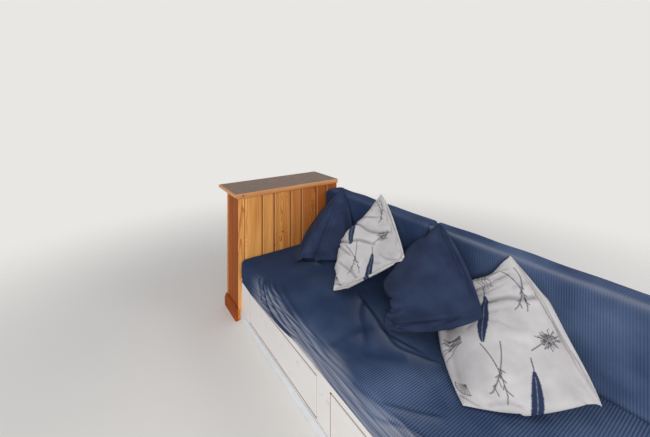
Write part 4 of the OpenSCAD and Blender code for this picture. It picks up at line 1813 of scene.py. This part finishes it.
@dataclass
class ScatterCushion:
    """A square scatter cushion: two sheets sewn together, blown up and let settle by simulation.

    Its corners are given in millimetres from the bed's own corner, as top, right, foot and left.
    Each place in `held` fixes one more place of the seam: how far across and down the cloth it
    is, from 0 to 1, and where it goes in millimetres.
    """

    name: str
    node: str
    slot: str
    corners: Sequence[Sequence[float]]
    size: float = 0.48
    bow: float = 0.12
    fill: float = 0.6
    first_fill: float = 0.02
    pressure: float = 4.0
    bending: float = 0.6
    frames: int = 40
    cells: int = 52
    smooth_levels: int = 2
    art: Print | None = None
    creases: Sequence[Crease] = ()
    tucks: Sequence[Tuck] = ()
    held: Sequence[Sequence[float]] = ()
    lean_from: float = 0.89
    rumple: float = 0.0010

    def facing(self) -> np.ndarray:
        """Gives the way that the cushion's front faces, which is into the room."""
        c = np.asarray(self.corners, float)
        n = np.cross(c[1] - c[3], c[0] - c[2])
        return n / np.linalg.norm(n)

    def rested(self, points: np.ndarray, gap: float = 0.0015) -> np.ndarray:
        """Keeps points off the boards, the mattress and the back cushions.

        Args:
            points: places in metres from the bed's own corner.
            gap: how far they stay away.

        Returns:
            The places, moved out where they have to be.
        """
        out = points.copy()
        out[:, 0] = np.maximum(out[:, 0], gap)
        # Above the back cushions a corner may lean on towards the wall
        reach = 0.7 * np.maximum(0, out[:, 2] - self.lean_from)
        out[:, 1] = np.minimum(out[:, 1], BACK_FACE - gap + reach)
        out[:, 2] = np.maximum(out[:, 2], BED_TOP + gap)
        return out

    def sheets(self) -> tuple[np.ndarray, list, np.ndarray, np.ndarray, list[int]]:
        """Cuts the two sheets flat and true to size, near where the cushion stands.

        Returns:
            The flat vertices, the faces, each vertex's place on the cloth, the vertices
            with the corners in their final places, and the numbers of the held vertices.
        """
        n = self.cells
        c = np.asarray(self.corners, float) * MM
        facing = self.facing()
        right = c[1] - c[0] + c[2] - c[3]
        right /= np.linalg.norm(right)
        down = np.cross(right, facing)
        down *= np.sign(down @ (c[3] - c[0] + c[2] - c[1]))
        middle = c.mean(0)
        number = {}
        flat, placed, cut, faces = [], [], [], []
        for sheet in Sheet:
            for i in range(n + 1):
                for j in range(n + 1):
                    rim = i in (0, n) or j in (0, n)
                    if rim and sheet is Sheet.BACK:
                        number[sheet, i, j] = number[Sheet.FRONT, i, j]
                        continue
                    s, t = i / n, j / n
                    puff = 0 if rim else 0.004 + self.first_fill * (16 * s * (1 - s) * t * (1 - t)) ** 0.5
                    number[sheet, i, j] = len(flat)
                    out = sheet.value * puff * facing
                    across = (s - 0.5) * (1 + 4 * self.bow * t * (1 - t)) * self.size
                    along = (t - 0.5) * (1 + 4 * self.bow * s * (1 - s)) * self.size
                    flat.append(middle + across * right + along * down + out)
                    top = (1 - s) * c[0] + s * c[1]
                    foot = (1 - s) * c[3] + s * c[2]
                    placed.append((1 - t) * top + t * foot + out)
                    cut.append((s * self.size, t * self.size, BACK_CUT * (sheet is Sheet.BACK)))
            for i in range(n):
                for j in range(n):
                    face = [number[sheet, i + a, j + b] for a, b in ((0, 0), (1, 0), (1, 1), (0, 1))]
                    faces.append(face if sheet is Sheet.FRONT else face[::-1])
        flat = self.rested(np.array(flat), 0.004)
        placed = self.rested(np.array(placed))
        normal = np.cross(flat[faces[0][1]] - flat[faces[0][0]], flat[faces[0][3]] - flat[faces[0][0]])
        if normal @ facing < 0:
            faces = [f[::-1] for f in faces]
        pins = [number[Sheet.FRONT, i, j] for i in (0, n) for j in (0, n)]
        for across, down, *place in self.held:
            pins.append(number[Sheet.FRONT, round(across * n), round(down * n)])
            placed[pins[-1]] = np.array(place) * MM
        return flat, faces, np.array(cut), placed, pins

    def simulate(self, obj: Object, placed: np.ndarray, pins: list[int]) -> None:
        """Moves the corners to their places while the cloth fills and settles.

        Args:
            obj: the two flat sheets.
            placed: the vertices with the corners in their final places.
            pins: the held vertices.
        """
        obj.shape_key_add(name="flat")
        key = obj.shape_key_add(name="placed")
        key.data.foreach_set("co", placed.ravel())
        moved_by = self.frames // 2
        for frame, value in ((1, 0.0), (moved_by, 1.0)):
            key.value = value
            key.keyframe_insert("value", frame=frame)
        group = obj.vertex_groups.new(name="held")
        group.add(pins, 1.0, "REPLACE")
        modifier = obj.modifiers.new("cloth", "CLOTH")
        cloth = modifier.settings
        cloth.quality = 6
        cloth.mass = 0.25
        cloth.air_damping = 2.0
        cloth.tension_stiffness = 18
        cloth.compression_stiffness = 10
        cloth.shear_stiffness = 6
        cloth.bending_stiffness = self.bending
        cloth.tension_damping = 12
        cloth.compression_damping = 12
        cloth.shear_damping = 8
        cloth.vertex_group_mass = "held"
        cloth.use_pressure = True
        cloth.uniform_pressure_force = self.pressure
        cloth.effector_weights.gravity = 0.0
        modifier.collision_settings.use_collision = True
        modifier.collision_settings.distance_min = 0.002
        modifier.collision_settings.collision_quality = 4
        modifier.point_cache.frame_start = 1
        modifier.point_cache.frame_end = self.frames
        scene = bpy.context.scene
        for frame in range(1, self.frames + 1):
            scene.frame_set(frame)
        graph = bpy.context.evaluated_depsgraph_get()
        mesh = bpy.data.meshes.new_from_object(obj.evaluated_get(graph))
        obj.modifiers.clear()
        obj.shape_key_clear()
        obj.vertex_groups.clear()
        obj.data = mesh
        scene.frame_set(1)

    def settle(self, blocks: Blocks) -> Object:
        """Makes the two sheets and simulates them against what they rest on.

        Args:
            blocks: what the cushion rests against; it joins them for the next cushions.

        Returns:
            The settled cloth, still coarse.
        """
        flat, faces, cut, placed, pins = self.sheets()
        first = flat
        obj = make_object(self.name, from_bed(first), faces, True, cut=cut)
        self.simulate(obj, from_bed(placed), pins)
        settled = read_rows(obj.data.vertices, "co", 3)
        settled = self.rested(settled - BED_CORNER) + BED_CORNER
        obj.data.vertices.foreach_set("co", settled.ravel())
        obj.data.update()
        blocks.add(f"{self.name}_block", settled, faces)
        return obj

    def sew(self, mesh: Mesh) -> None:
        """Keeps the seam between the two sheets sharp when the cloth is rounded."""
        cut = read_rows(mesh.attributes["cut"].data, "vector", 3)[:, :2]
        rim = np.minimum(cut, self.size - cut).min(1) < TINY
        ends = read_rows(mesh.edges, "vertices", 2, np.int32)
        one, other = cut[ends[:, 0]], cut[ends[:, 1]]
        along = (np.abs(one - other).min(1) < TINY) & rim[ends].all(1)
        keep_values(mesh, "crease_edge", SEAM_SHARPNESS * along, "EDGE")

    def crumple(self, mesh: Mesh, cut: np.ndarray) -> None:
        """Draws the cloth in at the tucks and presses the creases into the front sheet.

        Args:
            mesh: the rounded cloth.
            cut: each vertex's place on the cloth.
        """
        places = read_rows(mesh.vertices, "co", 3).astype(float)
        normals = read_rows(mesh.vertices, "normal", 3)
        calm = smoothstep(0.0, 0.02, np.minimum(cut[:, :2], self.size - cut[:, :2]).min(1))
        lift = self.rumple * soft_noise(cut[:, 0], cut[:, 1], 0.10, len(self.name))
        slant = cut[:, 0] + 0.8 * cut[:, 1]
        lift += 0.5 * self.rumple * soft_noise(slant, 0.25 * cut[:, 1], 0.045, len(self.name) + 1)
        folds = sum(crease.lift(cut[:, 0], cut[:, 1]) for crease in self.creases) * (cut[:, 2] < 0.3)
        lift += folds
        # Painted shade: a fold 6 mm deep is as dark as it gets
        keep_values(mesh, "hollow", np.clip(-folds / 0.006, 0, 1))
        places += normals * (lift * calm)[:, None]
        for tuck in self.tucks:
            places = tuck.move(cut, places)
        places = self.rested(places - BED_CORNER) + BED_CORNER
        mesh.vertices.foreach_set("co", places.ravel())
        mesh.update()

    def build(self, material: Material, blocks: Blocks) -> Object:
        """Builds and dresses the cushion.

        Args:
            material: its cloth.
            blocks: what it rests against.

        Returns:
            The cushion.
        """
        obj = self.settle(blocks)
        self.sew(obj.data)
        rounder = obj.modifiers.new("round", "SUBSURF")
        rounder.levels = rounder.render_levels = self.smooth_levels
        bake(obj)
        mesh = obj.data
        mesh.materials.clear()
        mesh.materials.append(material)
        cut = read_rows(mesh.attributes["cut"].data, "vector", 3).astype(float)
        self.crumple(mesh, cut)
        if self.art is not None:
            ink, patch = self.art.draw(cut[:, :2])
            keep_values(mesh, "ink", ink)
            keep_values(mesh, "patch", patch)
        mesh.shade_smooth()
        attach(obj, "daybed")
        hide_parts(self.node)
        report(obj)
        return obj


# The studio


@dataclass
class Studio:
    """A pale floor, soft lamps and the camera at the photograph's angle."""

    camera_at: Sequence[float] = (1.4885, -1.274, 1.58)
    look_along: Sequence[float] = (-0.8276, 0.5613, 0.0)
    lens: float = 18.72
    shift_y: float = -0.180

    def camera(self) -> None:
        """Puts the camera where the photograph was taken from, level and shifted down."""
        data = bpy.data.cameras.new("photo_view")
        data.lens = self.lens
        data.sensor_width = 36.0
        data.shift_y = self.shift_y
        data.clip_start = 0.02
        obj = bpy.data.objects.new("photo_view", data)
        obj.location = self.camera_at
        obj.rotation_euler = Vector(self.look_along).to_track_quat("-Z", "Y").to_euler()
        bpy.context.scene.collection.objects.link(obj)
        bpy.context.scene.camera = obj

    def floor(self) -> None:
        """Lays the pale floor."""
        reach = 14.0
        points = np.array([(-reach, -reach, 0), (reach, -reach, 0), (reach, reach, 0), (-reach, reach, 0)])
        obj = make_object("studio_floor", points, [[0, 1, 2, 3]], False)
        material = bpy.data.materials.new("pale_studio_floor")
        material.use_nodes = True
        tree = material.node_tree
        add = partial(add_node, tree)
        shader = tree.nodes["Principled BSDF"]
        shader.inputs["Base Color"].default_value = srgb("#efece8")
        shader.inputs["Roughness"].default_value = 0.9
        # The floor fades into the pale background between 1.6 m and 4.2 m out
        place = add("ShaderNodeTexCoord").outputs["Object"]
        away = add(VECTOR_MATH, {0: place}, operation="LENGTH")
        fade = add(
            RANGE, {"Value": away, "From Min": 1.6, "From Max": 4.2}, interpolation_type="SMOOTHSTEP"
        )
        clear = add("ShaderNodeBsdfTransparent")
        mixed = add("ShaderNodeMixShader", {0: fade, 1: shader, 2: clear})
        tree.links.new(first_output(mixed), tree.nodes["Material Output"].inputs["Surface"])
        obj.data.materials.append(material)

    def lamp(
        self, name: str, at: Sequence[float], aim: Sequence[float], size: float, power: float, colour: str
    ) -> None:
        """Hangs one square soft lamp.

        Args:
            name: the lamp's name.
            at: where it hangs.
            aim: the place that it faces.
            size: the side of its square.
            power: its strength in watts.
            colour: its colour.
        """
        data = bpy.data.lights.new(name, "AREA")
        data.shape = "SQUARE"
        data.size = size
        data.energy = power
        data.color = srgb(colour)[:3]
        obj = bpy.data.objects.new(name, data)
        obj.location = at
        obj.rotation_euler = (Vector(aim) - Vector(at)).to_track_quat("-Z", "Y").to_euler()
        bpy.context.scene.collection.objects.link(obj)

    def world(self) -> None:
        """Lights everything softly from all sides, with a pale background for the camera."""
        world = bpy.data.worlds.new("studio_air")
        world.use_nodes = True
        bpy.context.scene.world = world
        tree = world.node_tree
        tree.nodes.clear()
        add = partial(add_node, tree)
        rays = add("ShaderNodeLightPath").outputs
        seen = add(MATH, {0: rays["Is Camera Ray"], 1: rays["Is Glossy Ray"]}, operation="MAXIMUM")
        light = add("ShaderNodeBackground", {"Color": srgb("#eef1f6"), "Strength": 0.46})
        back = add("ShaderNodeBackground", {"Color": srgb("#e9e7e4"), "Strength": 1.0})
        mixed = add("ShaderNodeMixShader", {0: seen, 1: light, 2: back})
        add("ShaderNodeOutputWorld", {"Surface": mixed})

    def build(self) -> None:
        """Sets the studio up."""
        self.camera()
        self.floor()
        self.world()
        self.lamp("door_light", (4.4, -4.0, 2.6), (-0.3, 0.0, 0.4), 3.0, 262.0, "#fffdfa")
        self.lamp("window_light", (1.9, 1.9, 2.7), (0.2, 0.1, 0.4), 1.4, 26.0, "#ffffff")
        scene = bpy.context.scene
        scene.view_settings.view_transform = "Standard"


@dataclass
class Daybed:
    """The whole part, built in order."""

    frame: dict

    def pads(self, ribs: Ribs, cover: Material) -> None:
        """Builds the mattress and the back cushions."""
        Mattress(
            "ribbed_mattress", "mattress", 0.0006, 2.1197, -0.0095, 0.8545, 0.3006, 0.4445,
            edge_r=0.034, end_r=0.034, fill=0.9,
        ).build(ribs, cover)
        BackCushion(
            "far_back_cushion", "back_cushion_left", 0.0008, 1.0592, 0.7290, 0.8544, 0.4485, 0.8595,
            edge_r=0.024, end_r=0.024, rib_h=0.0009, seed=31, slump=0.030, fill=0.8,
        ).build(ribs, cover)
        # The near cushion's top edge carries the stronger painted highlight, for the sunlight on it
        BackCushion(
            "near_back_cushion", "back_cushion_right", 1.0608, 2.1192, 0.7290, 0.8544, 0.4485, 0.8595,
            edge_r=0.017, end_r=0.022, rib_h=0.0009, seed=32, painted_light=0.45, fill=0.8,
        ).build(ribs, cover)

    def scatter(self, finishes: Finishes) -> None:
        """Builds the four scatter cushions."""
        blocks = Blocks()
        ScatterCushion(
            "far_navy_cushion", "navy_cushion_far", "plain_navy_fabric",
            ((249, 740, 908), (484, 655, 480), (288, 288, 447), (14, 610, 601)),
            size=0.485, bow=0.12, pressure=7.0, fill=0.7, smooth_levels=1,
            creases=(
                Crease([(480, 100), (425, 75), (350, 90)], 3.0, 0.012, 2.0),
                Crease([(420, 435), (435, 280), (470, 180)], 3.0, 0.012, 2.0),
            ),
            held=((1, 0.33, 430, 545, 456), (1, 0.66, 350, 408, 449)),
        ).build(finishes.plain, blocks)
        ScatterCushion(
            "near_print_cushion", "print_cushion_near", "printed_fabric",
            ((1545, 722, 867), (1932, 600, 504), (1613, 257, 447), (1249, 580, 507)),
            size=0.51, bow=0.10, pressure=2.5, bending=0.15, fill=0.6, art=Print(0.51, 19),
            creases=(
                Crease([(135, 275), (155, 165), (185, 105), (190, 30)], 7.0, 0.010, 3.0),
                Crease([(105, 495), (160, 415), (155, 305), (140, 280)], 6.5, 0.010, 3.0),
                Crease([(135, 130), (135, 70), (140, 5)], 2.5, 0.012, 2.0),
                Crease([(5, 225), (60, 140), (75, 75)], 3.5, 0.009, 2.0),
                Crease([(5, 165), (30, 115), (55, 65)], 3.5, 0.008, 2.0),
                Crease([(450, 500), (480, 465), (505, 430)], 4.0, 0.008, 2.5),
                Crease([(300, 60), (360, 40), (420, 10)], 3.0, 0.012, 2.0),
                Crease([(215, 375), (190, 290), (190, 190)], 2.5, 0.012, 1.5),
                Crease([(495, 415), (470, 325), (500, 265)], 3.0, 0.010, 2.0),
            ),
            tucks=(Tuck(0, 150, 90, 32), Tuck(190, 0, 120, -12)),
        ).build(finishes.printed, blocks)
        ScatterCushion(
            "near_navy_cushion", "navy_cushion_near", "plain_navy_fabric",
            ((1146, 726, 896), (1551, 500, 653), (1128, 320, 447), (907, 570, 505)),
            size=0.52, bow=0.13, pressure=4.5, fill=0.8, smooth_levels=1,
            creases=(
                Crease([(345, 515), (410, 420), (390, 325)], 6.5, 0.011, 4.0),
                Crease([(430, 515), (470, 430), (515, 370)], 7.0, 0.010, 4.0),
                Crease([(515, 240), (500, 190), (480, 110)], 4.0, 0.010, 2.5),
                Crease([(130, 510), (155, 430), (215, 350)], 3.5, 0.012, 2.0),
                Crease([(60, 40), (160, 85), (305, 85)], 2.0, 0.014, 1.0),
            ),
        ).build(finishes.plain, blocks)
        ScatterCushion(
            "far_print_cushion", "print_cushion_far", "printed_fabric",
            ((644, 760, 940), (1082, 548, 682), (720, 302, 447), (544, 556, 510)),
            size=0.52, bow=0.06, pressure=2.2, bending=0.15, fill=0.45, art=Print(0.52, 7), rumple=0.0018,
            creases=(
                Crease([(5, 330), (55, 265), (140, 160), (175, 85)], 7.0, 0.009, 3.5),
                Crease([(5, 215), (25, 160), (60, 100), (110, 25)], 3.5, 0.008, 2.5),
                Crease([(5, 130), (35, 90), (65, 45)], 3.0, 0.007, 2.0),
                Crease([(25, 420), (100, 325), (175, 235), (255, 170), (320, 30)], 8.0, 0.010, 4.0),
                Crease([(40, 570), (150, 455), (250, 340), (280, 250), (360, 145)], 9.0, 0.010, 4.5),
                Crease([(115, 510), (240, 405), (370, 310)], 6.5, 0.009, 3.0),
                Crease([(330, 430), (420, 360), (495, 315), (515, 270)], 5.5, 0.009, 3.0),
                Crease([(390, 170), (455, 115), (495, 45)], 4.0, 0.008, 3.0),
                Crease([(515, 215), (500, 150), (505, 75)], 3.5, 0.008, 2.5),
                Crease([(480, 505), (475, 445), (510, 380)], 4.0, 0.008, 2.5),
                Crease([(420, 250), (440, 200), (460, 150)], 3.0, 0.010, 2.0),
            ),
            held=((0, 0.56, 534, 662, 697), (0, 0.78, 591, 632, 611)),
        ).build(finishes.printed, blocks)
        blocks.remove()

    def build(self) -> None:
        """Builds every sub-assembly in order."""
        nodes = self.frame["nodes"]
        finishes = Finishes()
        PaintedBase(nodes, finishes).build()
        for side in ("left", "right"):
            Drawer(side, finishes).build()
        Counter(nodes, finishes).build()
        self.pads(Ribs(), finishes.cover)
        self.scatter(finishes)


def main() -> None:
    """Loads the frame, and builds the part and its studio."""
    logging.basicConfig(level=logging.INFO, format="%(message)s")
    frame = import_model()
    Studio().build()
    Daybed(frame).build()


if __name__ == "__main__":
    main()
